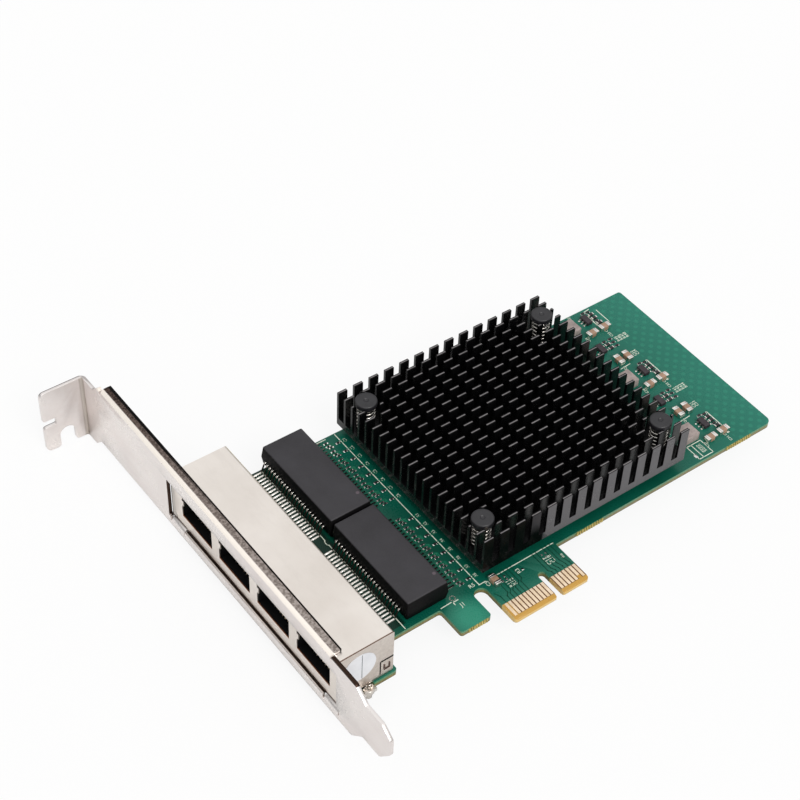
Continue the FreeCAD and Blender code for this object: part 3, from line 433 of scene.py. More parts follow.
shieldFinish = {
    "light": "#F1EAE3", "dark": "#E6DED6", "rough": 0.34,
    "rubbed": "#CFC6BE", "rubbedScale": 420, "rubbedStretch": (1, 0.35, 1), "rubbedMost": 0.16,
    "rubbedEdge": (0.5, 0.72),
    # the side tones are painted shade
    "sideTone": "#D2C8C0", "sideDark": "#BFB4AB", "sideFrom": 4.82, "sideTop": 13.2, "mottleScale": 1300,
    # the slit tone is a painted shadow in the flap's open slit
    "seam": "#6B4A38", "seamLow": 12.96, "slit": "#080605", "slitSpan": (11.45, 14.7), "slitHeight": (4.86, 5.42),
    "backEdge": "#C6B487", "backFrom": 14.32, "backLow": 12.45,
    "portEdge": "#B07A5C", "portReach": 1.25, "portLip": (1.8, 2.02),
    "portCentres": (13.75, 28.55, 43.35, 58.15), "portHalf": 5.9, "copperReach": 1.2, "copperSpan": (1.66, 1.97),
}


def makeShieldSheet():
    look = shieldFinish
    finish, tree, shader, coords, tone = newFinish(
        "tinnedSheet", look["light"], look["dark"], look["rough"], metal=1.0, patch=60, grain=2600, bump=0.10)
    x, y, z = splitAxes(tree, coords)
    rubbed = noiseOver(tree, coords, look["rubbedScale"], detail=5.0, rough=0.65, stretch=look["rubbedStretch"])
    rubbed = spread(tree, rubbed, 0.0, look["rubbedMost"], *look["rubbedEdge"])
    tone = painted(tree, tone, look, rubbed=rubbed)
    # painted shade: the shield's side is darker than its top, most of all towards the board, with a mottle
    onSide = below(tree, y, look["sideFrom"])
    mottle = spread(tree, noiseOver(tree, coords, look["mottleScale"], detail=4.0), 0.0, 1.0)
    mottle = mixColour(tree, mottle, look["sideTone"], look["sideDark"])
    tone = mixColour(tree, both(tree, onSide, spread(tree, z, 1.0, 0.6, 0, look["sideTop"] * mm)), tone, mottle)
    # folded seam under the top edge, painted shadow in the flap's open slit, and the brassy back bend
    seam = both(tree, onSide, above(tree, z, look["seamLow"], blur=0.04))
    slit = both(tree, onSide, between(tree, x, *look["slitSpan"]), between(tree, z, *look["slitHeight"]))
    backBend = both(
        tree, above(tree, x, look["backFrom"]), above(tree, z, look["backLow"], blur=0.3),
        facing(tree, "X", 0.2, 0.5))
    # raw copper-coloured edges of the port openings
    rawEdge = both(
        tree, below(tree, x, look["portReach"]), between(tree, z, *look["portLip"]), facing(tree, "Z", 0.5, 0.8))
    tone = painted(tree, tone, look, seam=seam, slit=slit, backEdge=backBend, portEdge=rawEdge)
    spans = [between(tree, y, c - look["portHalf"], c + look["portHalf"]) for c in look["portCentres"]]
    inPorts = spans[0]
    for span in spans[1:]:
        inPorts = sums(tree, "ADD", inPorts, span)
    copperLine = both(tree, inPorts, below(tree, x, look["copperReach"]), between(tree, z, *look["copperSpan"]))
    tree.links.new(painted(tree, tone, look, portEdge=copperLine), shader.inputs["Base Color"])
    return finish


sinkFinish = {
    "light": "#0C0C0D", "dark": "#070708", "rough": 0.22, "specular": 0.42, "topSpecular": 0.12,
    # the fin-top line tone is a painted highlight
    "worn": "#8F8B8C", "wornScale": 900, "wornSpan": (0.6, 1.0), "topFrom": 12.2, "topLean": (0.955, 0.985),
    "firstRow": 12.9, "rowPitch": 2.7035, "lineSpan": (0.20, 0.44), "outerFace": 12.96,
    # the lit side tones are a painted reflection, and the dim side tone painted shade
    "litSide": "#4A484B", "litFrom": 61.2, "partLitFrom": 56.8, "partLitLow": 7.5, "partLitMost": 0.45,
    "dimSide": "#050505", "dimSpecular": 0.04,
}


def makeSinkBlack():
    look = sinkFinish
    finish, tree, shader, coords, tone = newFinish(
        "blackAnodised", look["light"], look["dark"], look["rough"], patch=220, grain=5200, bump=0.12, dip=0.03)
    x, y, z = splitAxes(tree, coords)
    # a thin painted highlight along the top of every fin, broken up by noise
    top = both(tree, facing(tree, "Z", *look["topLean"]), above(tree, z, look["topFrom"]))
    shifted = tree.nodes.new("ShaderNodeMath")
    shifted.operation = "SUBTRACT"
    tree.links.new(y, shifted.inputs[0])
    shifted.inputs[1].default_value = look["firstRow"] * mm
    row = tree.nodes.new("ShaderNodeMath")
    row.operation = "FLOORED_MODULO"
    tree.links.new(shifted.outputs[0], row.inputs[0])
    row.inputs[1].default_value = look["rowPitch"] * mm
    line = both(tree, top, between(tree, row.outputs[0], *look["lineSpan"], blur=0.05))
    worn = both(tree, line, spread(tree, noiseOver(tree, coords, look["wornScale"]), *look["wornSpan"]))
    # painted reflection: the outer side of the first row is lit only towards the far end, and painted dark nearer
    outer = both(tree, below(tree, y, look["outerFace"]), facing(tree, "Y", -0.3, -0.6))
    near = both(tree, outer, below(tree, x, look["litFrom"], blur=0.3))
    lit = both(tree, outer, above(tree, x, look["litFrom"], blur=0.3))
    partLit = both(tree, outer, above(tree, x, look["partLitFrom"]), above(tree, z, look["partLitLow"], blur=1.5))
    partLit = sums(tree, "MULTIPLY", partLit, look["partLitMost"])
    tone = painted(tree, tone, look, worn=worn, dimSide=near, litSide=sums(tree, "MAXIMUM", lit, partLit))
    tree.links.new(tone, shader.inputs["Base Color"])
    # less shine on the fin tops and on the near outer side
    shine = spread(tree, top, look["specular"], look["topSpecular"], 0, 1)
    dull = tree.nodes.new("ShaderNodeMix")
    feed(tree, dull.inputs[0], near)
    feed(tree, dull.inputs[2], shine)
    feed(tree, dull.inputs[3], look["dimSpecular"])
    tree.links.new(dull.outputs[0], shader.inputs["Specular IOR Level"])
    return finish


moduleFinish = {
    "light": "#2F2D32", "dark": "#28262A", "rough": 0.52, "specular": 0.55,
    # the side tones are painted shade
    "side": "#141314", "sideLow": "#080708", "sideLean": (0.75, 0.25), "sideLevels": (1.0, 5.5),
    "sideSpecular": 0.06,
    "mark": "#5C5158", "markRadius": 0.40, "marks": [(34.0, 16.7, 5.9), (34.0, 44.8, 5.9)],
}


def makeModuleBlack():
    look = moduleFinish
    finish, tree, shader, coords, tone = newFinish(
        "moduleBlack", look["light"], look["dark"], look["rough"], patch=140, grain=3800, bump=0.25, dip=0.04)
    for spot in look["marks"]:
        tone = painted(tree, tone, look, mark=nearSpot(tree, coords, spot, look["markRadius"]))
    # painted shade: the sides stay matt and dark, darker towards the board
    side = facing(tree, "Z", *look["sideLean"])
    height = spread(tree, splitAxes(tree, coords)["Z"], 0.0, 1.0, *[level * mm for level in look["sideLevels"]])
    tone = mixColour(tree, side, tone, mixColour(tree, height, look["sideLow"], look["side"]))
    tree.links.new(tone, shader.inputs["Base Color"])
    shine = spread(tree, side, look["specular"], look["sideSpecular"], 0, 1)
    tree.links.new(shine, shader.inputs["Specular IOR Level"])
    return finish


legFinish = {
    "light": "#F3F0EA", "dark": "#D9D4CC", "rough": 0.24,
    # the slope tone is a painted dark reflection and the right-side tone painted shade
    "slope": "#3A3A34", "slopeSpan": (0.42, 2.4), "slopeLean": (0.97, 0.85),
    "rightSide": "#2E3631", "rightFrom": 35.5, "rightMost": 0.75,
}


def makeLegTin():
    look = legFinish
    finish, tree, shader, coords, tone = newFinish(
        "legTin", look["light"], look["dark"], look["rough"], metal=1.0, patch=900, grain=6000)
    # painted dark reflection on the slanting shins, and painted shade on the right-hand legs
    height = splitAxes(tree, coords)["Z"]
    shin = both(tree, between(tree, height, *look["slopeSpan"], blur=0.12), facing(tree, "Z", *look["slopeLean"]))
    rightSide = above(tree, splitAxes(tree, coords)["X"], look["rightFrom"])
    rightSide = sums(tree, "MULTIPLY", rightSide, look["rightMost"])
    tree.links.new(painted(tree, tone, look, slope=shin, rightSide=rightSide), shader.inputs["Base Color"])
    return finish


trackFinish = {"light": "#127A5A", "dark": "#0C684C", "rough": 0.28, "front": "#044533", "frontTo": 13.2}


def makeTrackGreen():
    look = trackFinish
    finish, tree, shader, coords, tone = newFinish(
        "trackGreen", look["light"], look["dark"], look["rough"], specular=0.22, patch=400, bump=0.15)
    nearFront = below(tree, splitAxes(tree, coords)["Y"], look["frontTo"])
    tree.links.new(mixColour(tree, nearFront, tone, look["front"]), shader.inputs["Base Color"])
    return finish


def metalFinish(name, light, dark, rough, patch, grain=6000, bump=0.05):
    return newFinish(name, light, dark, rough, metal=1.0, patch=patch, grain=grain, bump=bump)[0]


def plainFinish(name, light, dark, rough, patch, grain=5000, bump=0.15, specular=0.5, dip=0.02):
    return newFinish(name, light, dark, rough, specular=specular, patch=patch, grain=grain, bump=bump, dip=dip)[0]


# the plain ones give their name, light tone, dark tone, roughness, patch scale, grain scale and bump
finishes = {
    "solderMask": makeSolderMask(),
    "nickelSheet": makeBracketSheet(),
    "tinnedSheet": makeShieldSheet(),
    "sinkBlack": makeSinkBlack(),
    "moduleBlack": makeModuleBlack(),
    "legTin": makeLegTin(),
    "trackGreen": makeTrackGreen(),
    "gold": metalFinish("contactGold", "#FCE8CE", "#F4D9B4", 0.26, 500, 4000),
    "screwNickel": metalFinish("screwNickel", "#E2DDD6", "#CFC8C0", 0.22, 600, 5000),
    "leadTin": metalFinish("leadTin", "#F3F0EA", "#D9D4CC", 0.24, 900),
    "solder": metalFinish("solderJoints", "#F0EEEA", "#C9C6C2", 0.20, 1400, bump=0.3),
    "springSteel": metalFinish("springSteel", "#DAD6D0", "#B9B4AE", 0.18, 900, 7000),
    "housingBlack": plainFinish("housingBlack", "#111112", "#0B0B0C", 0.45, 200, 3000, 0.2, specular=0.25),
    "pinBlack": plainFinish("pinBlack", "#201F23", "#18171B", 0.40, 300, 4500, specular=0.6),
    "chipBlack": plainFinish("chipBlack", "#3A3036", "#2C242A", 0.48, 900, 6000, 0.3),
    "softPad": plainFinish("softPad", "#8E9296", "#7C8084", 0.8, 300, 3000, 0.3),
    "inductorGrey": plainFinish("inductorGrey", "#B5A7A2", "#978A86", 0.55, 1100, 5200, 0.5, dip=0.06),
    "ceramicTan": plainFinish("ceramicTan", "#B8957C", "#9E7D66", 0.35, 900, 6000, 0.2),
    "resistorBlack": plainFinish("resistorBlack", "#231E22", "#171318", 0.35, 1500, 6000),
    "labelFilm": plainFinish("labelFilm", "#E6E7EB", "#DADCE1", 0.35, 260, 1800),
    "labelInk": plainFinish("labelInk", "#6C7278", "#5A6066", 0.6, 900),
    "whiteInk": plainFinish("whiteInk", "#F2F6E6", "#DDE8D6", 0.6, 1200, 6000),
    "laminateStub": plainFinish("laminateStub", "#C9B468", "#8E7F42", 0.6, 1400, 5000, 0.4),
    "rimTin": plainFinish("rimTin", "#DCD6D0", "#CFC8C1", 0.5, 300, specular=0.3),
    # the dark relief tone is also the painted shadow of the window gap filler
    "darkRelief": plainFinish("darkRelief", "#5A4034", "#3C2A22", 0.5, 900),
}

nodeFinish = {
    "circuit_board": "solderMask", "edge_contacts_front": "gold", "edge_contacts_back": "gold",
    "bracket": "nickelSheet", "bracket_screws": "screwNickel", "jack_shield": "tinnedSheet",
    "jack_housing": "housingBlack", "port_wires": "gold", "transformer_modules": "moduleBlack",
    "transformer_leads": "legTin", "heat_sink": "sinkBlack", "push_pins": "pinBlack",
    "push_pin_springs": "springSteel", "controller_chip": "chipBlack", "thermal_pad": "softPad",
    "power_inductors": "inductorGrey", "inductor_terminals": "leadTin", "regulator_chips": "chipBlack",
    "regulator_leads": "leadTin", "switch_chips": "chipBlack", "switch_leads": "leadTin",
    "ceramic_capacitors": "ceramicTan", "capacitor_ends": "leadTin", "chip_resistors": "resistorBlack",
    "resistor_ends": "leadTin", "inspection_label": "labelFilm",
}
for nodeName, finishName in nodeFinish.items():
    for nodeSlot in cardNodes[nodeName].material_slots:
        nodeSlot.material = finishes[finishName]
print("finishes made:", len(finishes))


# hand moves shared by the pieces
def pick(*things):
    bpy.ops.object.select_all(action="DESELECT")
    for thing in things:
        thing.select_set(True)
    bpy.context.view_layer.objects.active = things[0]


def place(piece):
    # leaves the piece's object at the origin, with its place in its mesh
    pick(piece)
    bpy.ops.object.transform_apply(location=True, rotation=True, scale=True)


def joinAll(things, name):
    pick(*things)
    if len(things) > 1:
        bpy.ops.object.join()
    whole = bpy.context.object
    whole.name = name
    whole.data.name = name
    return whole


def settle(piece, finishName, slotName, *replacing, smooth=40):
    # hands a finished piece to the card with its finish and smoothing angle
    place(piece)
    if smooth:
        bpy.ops.object.shade_smooth_by_angle(angle=math.radians(smooth))
    piece.data.materials.clear()
    piece.data.materials.append(finishes[finishName])
    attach(piece, "root")
    if replacing:
        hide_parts(*replacing)


def copyTo(source, spots, name):
    # one copy, each with its own mesh, at every (x, y, turn, widthScale, lengthScale)
    made = []
    for x, y, turn, wide, long in spots:
        twin = source.copy()
        twin.data = source.data.copy()
        twin.data.transform(
            Matrix.Translation((x * mm, y * mm, 0)) @ Matrix.Rotation(math.radians(turn), 4, "Z")
            @ Matrix.Diagonal((wide, long, 1, 1)))
        bpy.context.collection.objects.link(twin)
        made.append(twin)
    bpy.data.objects.remove(source)
    return joinAll(made, name)


def movedTo(piece, x, y, name):
    return copyTo(piece, [(x, y, 0, 1, 1)], name)


def softBlock(name, width, length, height, edge, steps, level=0.0):
    # a block with rounded edges over the origin, standing on the level
    bpy.ops.mesh.primitive_cube_add(size=1, location=(0, 0, (level + height / 2) * mm))
    block = bpy.context.object
    block.name = name
    block.scale = (width * mm, length * mm, height * mm)
    place(block)
    bpy.ops.object.mode_set(mode="EDIT")
    bpy.ops.mesh.select_all(action="SELECT")
    bpy.ops.mesh.bevel(offset=edge * mm, segments=steps, affect="EDGES")
    bpy.ops.object.mode_set(mode="OBJECT")
    return block


def turnedPiece(name, rings, sides):
    # drawn up from a disc by extruding it through rings of (radius, height)
    radius, height = rings[0]
    bpy.ops.mesh.primitive_circle_add(
        vertices=sides, radius=radius * mm, fill_type="NGON", location=(0, 0, height * mm))
    piece = bpy.context.object
    piece.name = name
    place(piece)
    bpy.ops.object.mode_set(mode="EDIT")
    bpy.ops.mesh.select_all(action="SELECT")
    for nextRadius, nextHeight in rings[1:]:
        bpy.ops.mesh.extrude_region_move(TRANSFORM_OT_translate={"value": (0, 0, (nextHeight - height) * mm)})
        ratio = nextRadius / radius
        bpy.ops.transform.resize(value=(ratio, ratio, 1))
        radius, height = nextRadius, nextHeight
    bpy.ops.mesh.select_all(action="SELECT")
    bpy.ops.mesh.normals_make_consistent(inside=False)
    bpy.ops.object.mode_set(mode="OBJECT")
    return piece


# how far points are merged in mm, and the angles under which faces are one and over which edges are cut
softening = {"weld": 0.0015, "flatWithin": 0.5, "sharpFrom": 40}


def softenedCopy(nodeName, pieceName, edge, steps, smooth, finishName, slotName):
    # a merged copy of a card part with its edges rounded, standing for that part
    pick(cardNodes[nodeName])
    bpy.ops.object.duplicate()
    piece = bpy.context.object
    bpy.ops.object.parent_clear(type="CLEAR_KEEP_TRANSFORM")
    piece.name = pieceName
    piece.data.name = pieceName
    bpy.ops.object.mode_set(mode="EDIT")
    bpy.ops.mesh.select_all(action="SELECT")
    bpy.ops.mesh.remove_doubles(threshold=softening["weld"] * mm)
    bpy.ops.mesh.dissolve_limited(angle_limit=math.radians(softening["flatWithin"]))
    bpy.ops.object.mode_set(mode="OBJECT")
    bevel = piece.modifiers.new("softEdges", "BEVEL")
    bevel.width = edge * mm
    bevel.segments = steps
    bevel.limit_method = "ANGLE"
    bevel.angle_limit = math.radians(softening["sharpFrom"])
    bevel.use_clamp_overlap = True
    bpy.ops.object.modifier_apply(modifier=bevel.name)
    settle(piece, finishName, slotName, nodeName, smooth=smooth)


# for each card part: its piece, edge radius in mm, bevel steps, smoothing angle, finish and slot
edgeWork = {
    "circuit_board": ("boardLaminate", 0.06, 1, 35, "solderMask", "board"),
    "bracket": ("bracketPlate", 0.10, 2, 35, "nickelSheet", "nickel_sheet"),
    "transformer_modules": ("moduleCases", 0.34, 3, 35, "moduleBlack", "module_plastic"),
    "transformer_leads": ("moduleLegs", 0.04, 1, 35, "legTin", "tin"),
    "heat_sink": ("sinkFins", 0.24, 1, 0, "sinkBlack", "black_anodised"),
    "power_inductors": ("inductorBodies", 0.14, 2, 35, "inductorGrey", "inductor_grey"),
    "ceramic_capacitors": ("capacitorBodies", 0.08, 2, 35, "ceramicTan", "ceramic_tan"),
    "capacitor_ends": ("capacitorCaps", 0.10, 2, 35, "leadTin", "tin"),
    "chip_resistors": ("resistorBodies", 0.03, 1, 35, "resistorBlack", "resistor_black"),
    "resistor_ends": ("resistorCaps", 0.05, 1, 35, "leadTin", "tin"),
    "regulator_chips": ("regulatorBodies", 0.08, 2, 35, "chipBlack", "chip_plastic"),
    "switch_chips": ("switchBodies", 0.08, 2, 35, "chipBlack", "chip_plastic"),
    "bracket_screws": ("screwHeads", 0.10, 2, 35, "screwNickel", "screw_metal"),
}
for nodeName, work in edgeWork.items():
    softenedCopy(nodeName, *work)
print("soft edges on", len(edgeWork), "parts")

# push pins: a turned head with a dimple and a barbed tail, each in rings of (radius, height)
pins = {
    "spots": [(48.2, 18.7), (99.8, 18.7), (48.2, 61.6), (99.8, 61.6)],
    "turnStep": 17,
    "headSides": 40,
    "head": [
        (1.25, 9.2), (1.25, 11.35), (2.30, 11.40), (2.52, 11.50), (2.60, 11.70), (2.60, 12.62), (2.52, 12.80),
        (2.36, 12.90), (1.95, 12.88), (0.62, 12.82), (0.50, 12.70), (0.34, 12.62),
    ],
    "tailSides": 24,
    "tail": [
        (0.55, -4.2), (0.95, -4.1), (1.82, -2.05), (1.85, -1.85), (1.50, -1.62), (1.18, -1.58), (1.18, 3.0),
        (1.20, 9.3),
    ],
}
pinHead = turnedPiece("pinHead", pins["head"], pins["headSides"])
pinTail = turnedPiece("pinTail", pins["tail"], pins["tailSides"])
pinSpots = [(x, y, pins["turnStep"] * i, 1, 1) for i, (x, y) in enumerate(pins["spots"])]
pinSet = copyTo(joinAll([pinHead, pinTail], "pushPin"), pinSpots, "pushPinSet")
settle(pinSet, "pinBlack", "pin_plastic", "push_pins")

# round wire coils under the pin heads
springs = {
    "radius": 2.0, "wire": 0.25, "wireSides": 10, "turns": 5.5, "foot": 4.55, "top": 11.40, "steps": 28,
    "turnStep": 40,
}


def coilSpring(name):
    wireCentre = (springs["radius"] * mm, 0, (springs["foot"] + springs["wire"]) * mm)
    bpy.ops.mesh.primitive_circle_add(
        vertices=springs["wireSides"], radius=springs["wire"] * mm, fill_type="NOTHING",
        location=wireCentre, rotation=(math.radians(90), 0, 0))
    coil = bpy.context.object
    coil.name = name
    place(coil)
    wind = coil.modifiers.new("wind", "SCREW")
    wind.axis = "Z"
    wind.angle = 2 * math.pi * springs["turns"]
    wind.screw_offset = (springs["top"] - springs["foot"] - 2 * springs["wire"]) * mm
    wind.steps = int(springs["steps"] * springs["turns"])
    wind.render_steps = wind.steps
    wind.use_merge_vertices = False
    wind.use_normal_calculate = True
    bpy.ops.object.modifier_apply(modifier=wind.name)
    bpy.ops.object.mode_set(mode="EDIT")
    bpy.ops.mesh.select_mode(type="VERT")
    bpy.ops.mesh.select_all(action="DESELECT")
    bpy.ops.mesh.select_non_manifold()
    bpy.ops.mesh.fill_holes(sides=springs["wireSides"])
    bpy.ops.mesh.select_all(action="SELECT")
    bpy.ops.mesh.normals_make_consistent(inside=False)
    bpy.ops.object.mode_set(mode="OBJECT")
    return coil


coilSpots = [(x, y, springs["turnStep"] * i, 1, 1) for i, (x, y) in enumerate(pins["spots"])]
coilSet = copyTo(coilSpring("coil"), coilSpots, "pushPinCoils")
settle(coilSet, "springSteel", "spring_steel", "push_pin_springs", smooth=60)
print("push pins and springs wound")


def alongStrokes(strokes, width):
    # spots that lay a 1 mm long slab along each straight run of the strokes, lapped at the corners
    spots = []
    for stroke in strokes:
        for (x1, y1), (x2, y2) in zip(stroke, stroke[1:]):
            run = math.hypot(x2 - x1, y2 - y1) + width
            turn = math.degrees(math.atan2(y2 - y1, x2 - x1)) - 90
            spots.append(((x1 + x2) / 2, (y1 + y2) / 2, turn, 1, run))
    return spots


lettering = {"lift": 0.015, "sizeShare": 1.4, "curveSteps": 2, "lineSpace": 0.8}


def letters(text, x, y, height, turn):
    lift = lettering["lift"] * mm
    bpy.ops.object.text_add(location=(x * mm, y * mm, lift), rotation=(0, 0, math.radians(turn)))
    word = bpy.context.object
    word.data.body = text
    word.data.size = height * mm * lettering["sizeShare"]
    word.data.align_x = "CENTER"
    word.data.align_y = "CENTER"
    word.data.extrude = lift
    word.data.resolution_u = lettering["curveSteps"]
    word.data.space_line = lettering["lineSpace"]
    pick(word)
    bpy.ops.object.convert(target="MESH")
    return bpy.context.object


def ring(x, y, radius, steps=16):
    turns = [2 * math.pi * k / steps for k in range(steps + 1)]
    return [(x + radius * math.cos(turn), y + radius * math.sin(turn)) for turn in turns]


# rows of small parts beside the modules, and the three power cells at the far end
# a part of a row or a cell is given by its x and its distance from the row
rowSet = {"starts": (64.1, 35.9), "pitch": 3.0, "count": 8}
cellSet = {"x": 110.6, "first": 19.2, "pitch": 21.6, "count": 3}
smallRows = [start - rowSet["pitch"] * k for start in rowSet["starts"] for k in range(rowSet["count"])]
cellRows = [cellSet["first"] + cellSet["pitch"] * k for k in range(cellSet["count"])]
gapRows = cellRows[:2]  # the first two cells have more parts in the gap above them

# white print: frames and lines as points, and words as (text, x, y, height, turn)
printing = {
    "lineWidth": 0.22, "rise": 0.03, "edge": 0.008,
    "strokes": [
        [(43.2, 66.8), (43.2, 12.2), (44.9, 12.2)],
        [(46.9, 12.2), (63.9, 12.2)],
        [(23.05, 11.85), (23.05, 39.9), (22.75, 40.3), (22.75, 41.2), (23.05, 41.6), (23.05, 66.6)],
        [(32.5, 11.75), (35.3, 11.85)],
        [(35.6, 10.9), (35.6, 11.6), (36.9, 11.6)],
        ring(36.2, 12.6, 0.62),
        [(33.0, 66.7), (40.5, 66.7)],
        [(108.6, 12.2), (112.9, 12.2), (112.9, 16.7), (108.6, 16.7), (108.6, 12.2)],
        [(109.9, 12.2), (109.9, 16.7)],
        [(117.9, 66.2), (120.5, 66.5)],
        [(122.0, 65.2), (122.0, 60.2), (121.3, 59.9)],
        [(118.6, 64.6), (118.6, 60.4)],
    ],
    "gapStrokes": [
        [(117.6, 3.4), (120.6, 3.6), (120.6, -4.4), (120.0, -4.4)],
        [(113.2, 4.7), (116.2, 4.9)],
    ],
    "cellStrokes": [[(107.4, -3.1), (107.4, 3.0), (108.2, 3.0)]],
    "words": [
        ("J1", 37.0, 10.0, 1.1, 0), ("R5", 41.7, 12.9, 1.0, 0), ("C5", 45.0, 11.4, 0.9, 90),
        ("R11\nR12", 49.4, 8.7, 0.95, 90), ("R3", 52.6, 10.4, 0.95, 90), ("C17\nC18", 60.3, 8.9, 1.0, 90),
        ("R6", 63.3, 8.2, 0.8, 90), ("R61\nR62\nR63\nR64", 111.4, 14.6, 0.62, 0),
    ],
    "rowWords": {"letters": "CR", "x": 44.2, "height": 0.8},
    # (text, its first numbers, how far they go up with each cell, x, distance from the row, height)
    "cellWords": [
        ("C%d C%d", (31, 34), 1, 119.2, -5.0, 0.72), ("C%d", (37,), 1, 113.2, -4.4, 0.72),
        ("Q%d", (5,), 1, 114.2, 4.4, 0.72),
    ],
    "gapWords": [
        ("R%d\nR%d\nR%d\nR%d", (41, 42, 43, 44), 4, 120.9, 13.4, 0.85), ("Q%d", (1,), 1, 110.4, 14.8, 0.7),
        ("C%d\nC%d", (51, 53), 1, 119.9, 7.2, 0.8),
    ],
    "turn": 90,
}
for rows, strokes in ((gapRows, printing["gapStrokes"]), (cellRows, printing["cellStrokes"])):
    for low in rows:
        printing["strokes"] += [[(x, low + away) for x, away in stroke] for stroke in strokes]
rowWords = printing["rowWords"]
for k, row in enumerate(smallRows):
    letter, number = rowWords["letters"][k // rowSet["count"]], k % rowSet["count"] + 1
    printing["words"].append((letter + str(number), rowWords["x"], row, rowWords["height"], printing["turn"]))
for rows, words in ((cellRows, printing["cellWords"]), (gapRows, printing["gapWords"])):
    for k, low in enumerate(rows):
        for text, numbers, step, x, away, height in words:
            text = text % tuple(number + step * k for number in numbers)
            printing["words"].append((text, x, low + away, height, printing["turn"]))
inkSlab = softBlock("inkSlab", printing["lineWidth"], 1.0, printing["rise"], printing["edge"], 1)
inkLines = copyTo(inkSlab, alongStrokes(printing["strokes"], printing["lineWidth"]), "inkLines")
boardPrint = joinAll([inkLines] + [letters(*word) for word in printing["words"]], "boardPrint")
settle(boardPrint, "whiteInk", "label_film", smooth=0)

# tracks under the mask stand a hair above it
tracks = {
    "width": 0.22, "rise": 0.035, "edge": 0.012,
    # four tracks spread from each row: (x, distance from the row, share of the step aside)
    "fan": [(38.9, 0.7, 1.0), (39.6, 0.7, 0.9), (41.2, 0.3, 0.5)], "fanSteps": (-0.9, -0.3, 0.3, 0.9),
    "rowRuns": [[(42.7, 0.25), (44.3, 0.6)], [(42.7, -0.2), (44.3, -0.5)]],
    # from each contact, starting at x: (step aside, y, how much y goes up with each contact)
    "contactCount": 6,
    "fromContacts": [
        (46.3, [(0, 4.9, 0), (0, 6.3, 0.3), (0.7, 7.0, 0.3), (0.7, 12.8, 0)]),
        (58.5, [(0, 4.9, 0), (0, 6.0, 0), (-0.5, 6.6, 0.25), (-0.5, 12.8, 0)]),
    ],
    "shortRun": (5, 8.0),  # the run that stops early, counted from the first contact, and where
    "cornerRun": [(45.0, 5.0), (45.0, 7.0), (44.4, 8.4)],
}
trackRuns = []
for row in smallRows:
    for step in tracks["fanSteps"]:
        trackRuns.append([(x, row + away + step * share) for x, away, share in tracks["fan"]])
    trackRuns += [[(x, row + away) for x, away in run] for run in tracks["rowRuns"]]
contactRuns = []
for k in range(tracks["contactCount"]):
    for start, points in tracks["fromContacts"]:
        contactRuns.append([(start + k + aside, y + rise * k) for aside, y, rise in points])
shortRun, shortEnd = tracks["shortRun"]
contactRuns[shortRun][-1] = (contactRuns[shortRun][-1][0], shortEnd)
trackRuns += contactRuns + [tracks["cornerRun"]]
trackSlab = softBlock("trackSlab", tracks["width"], 1.0, tracks["rise"], tracks["edge"], 1)
trackSet = copyTo(trackSlab, alongStrokes(trackRuns, tracks["width"]), "boardTracks")
settle(trackSet, "trackGreen", "board", smooth=0)

# very small resistors beside the modules and round the power cells, with widths and lengths as shares
tinyParts = {
    "length": 0.55, "width": 0.3, "height": 0.26, "edge": 0.03, "level": 0.05,
    # (x, distance from the row, length share, width share)
    "inRow": [(39.8, 1.35, 1, 1), (39.8, 0.35, 1, 1), (40.2, -0.35, 1, 1), (42.33, 0, 0.9, 1.3)],
    # (distance from the cell's x, distance from its row)
    "inCell": [(8.95, -0.2), (8.95, 3.3), (7.6, 3.6)],
    "inGap": [(7.2, 11.6), (7.2, 13.0), (7.2, 14.3), (5.3, 14.3)],
    "farShares": (1.5, 1.7),
}
farSpots = []
for rows, group in ((cellRows, tinyParts["inCell"]), (gapRows, tinyParts["inGap"])):
    farSpots += [(cellSet["x"] + dx, low + dy) for low in rows for dx, dy in group]

# soldered pads: widths and lengths are shares of a half-millimetre pad
pads = {
    "size": 0.5, "height": 0.06, "edge": 0.02,
    "inRow": [
        (39.35, 1.35, 0.84, 0.9), (40.25, 1.35, 0.84, 0.9), (39.35, 0.35, 0.84, 0.9),
        (40.25, 0.35, 0.84, 0.9), (39.75, -0.35, 0.84, 0.9), (40.65, -0.35, 0.84, 0.9),
        (41.95, 0, 1.0, 1.2), (42.72, 0, 1.0, 1.2),
    ],
    "front": [
        (48.05, 11.0, 1, 1), (48.05, 10.0, 1, 1), (49.2, 11.0, 1, 1), (49.2, 10.0, 1, 1),
        (53.7, 10.2, 1.2, 1.2), (59.7, 10.9, 0.8, 0.8), (60.7, 10.9, 0.8, 0.8), (60.2, 10.1, 0.8, 0.8),
    ],
    "farAside": 0.45, "farShares": (0.8, 1.2),
    "framed": (108.5, 13.4, 1.6, 2.0),
    "leftLead": (21.6, 4.1), "rightLead": (37.4, 2.4), "leadWidth": 0.92,
    "moduleFronts": (13.2, 41.3), "moduleHalf": 13.5, "leadCount": 24, "middleLead": 11.5,
}
padSpots = [(x, row + away, 0, wide, long) for row in smallRows for x, away, wide, long in pads["inRow"]]
padSpots += [(x, y, 0, wide, long) for x, y, wide, long in pads["front"]]
farSides = (-pads["farAside"], pads["farAside"])
padSpots += [(x + side, y, 0, *pads["farShares"]) for x, y in farSpots for side in farSides]
padSpots.append((*pads["framed"][:2], 0, *pads["framed"][2:]))
leadRows = [
    front + pads["moduleHalf"] + (k - pads["middleLead"])
    for front in pads["moduleFronts"] for k in range(pads["leadCount"])]
for x, reach in (pads["leftLead"], pads["rightLead"]):
    padSpots += [(x, row, 0, reach, pads["leadWidth"]) for row in leadRows]
pad = softBlock("pad", pads["size"], pads["size"], pads["height"], pads["edge"], 1)
settle(copyTo(pad, padSpots, "solderPads"), "solder", "tin")
print("board print, tracks and pads laid")

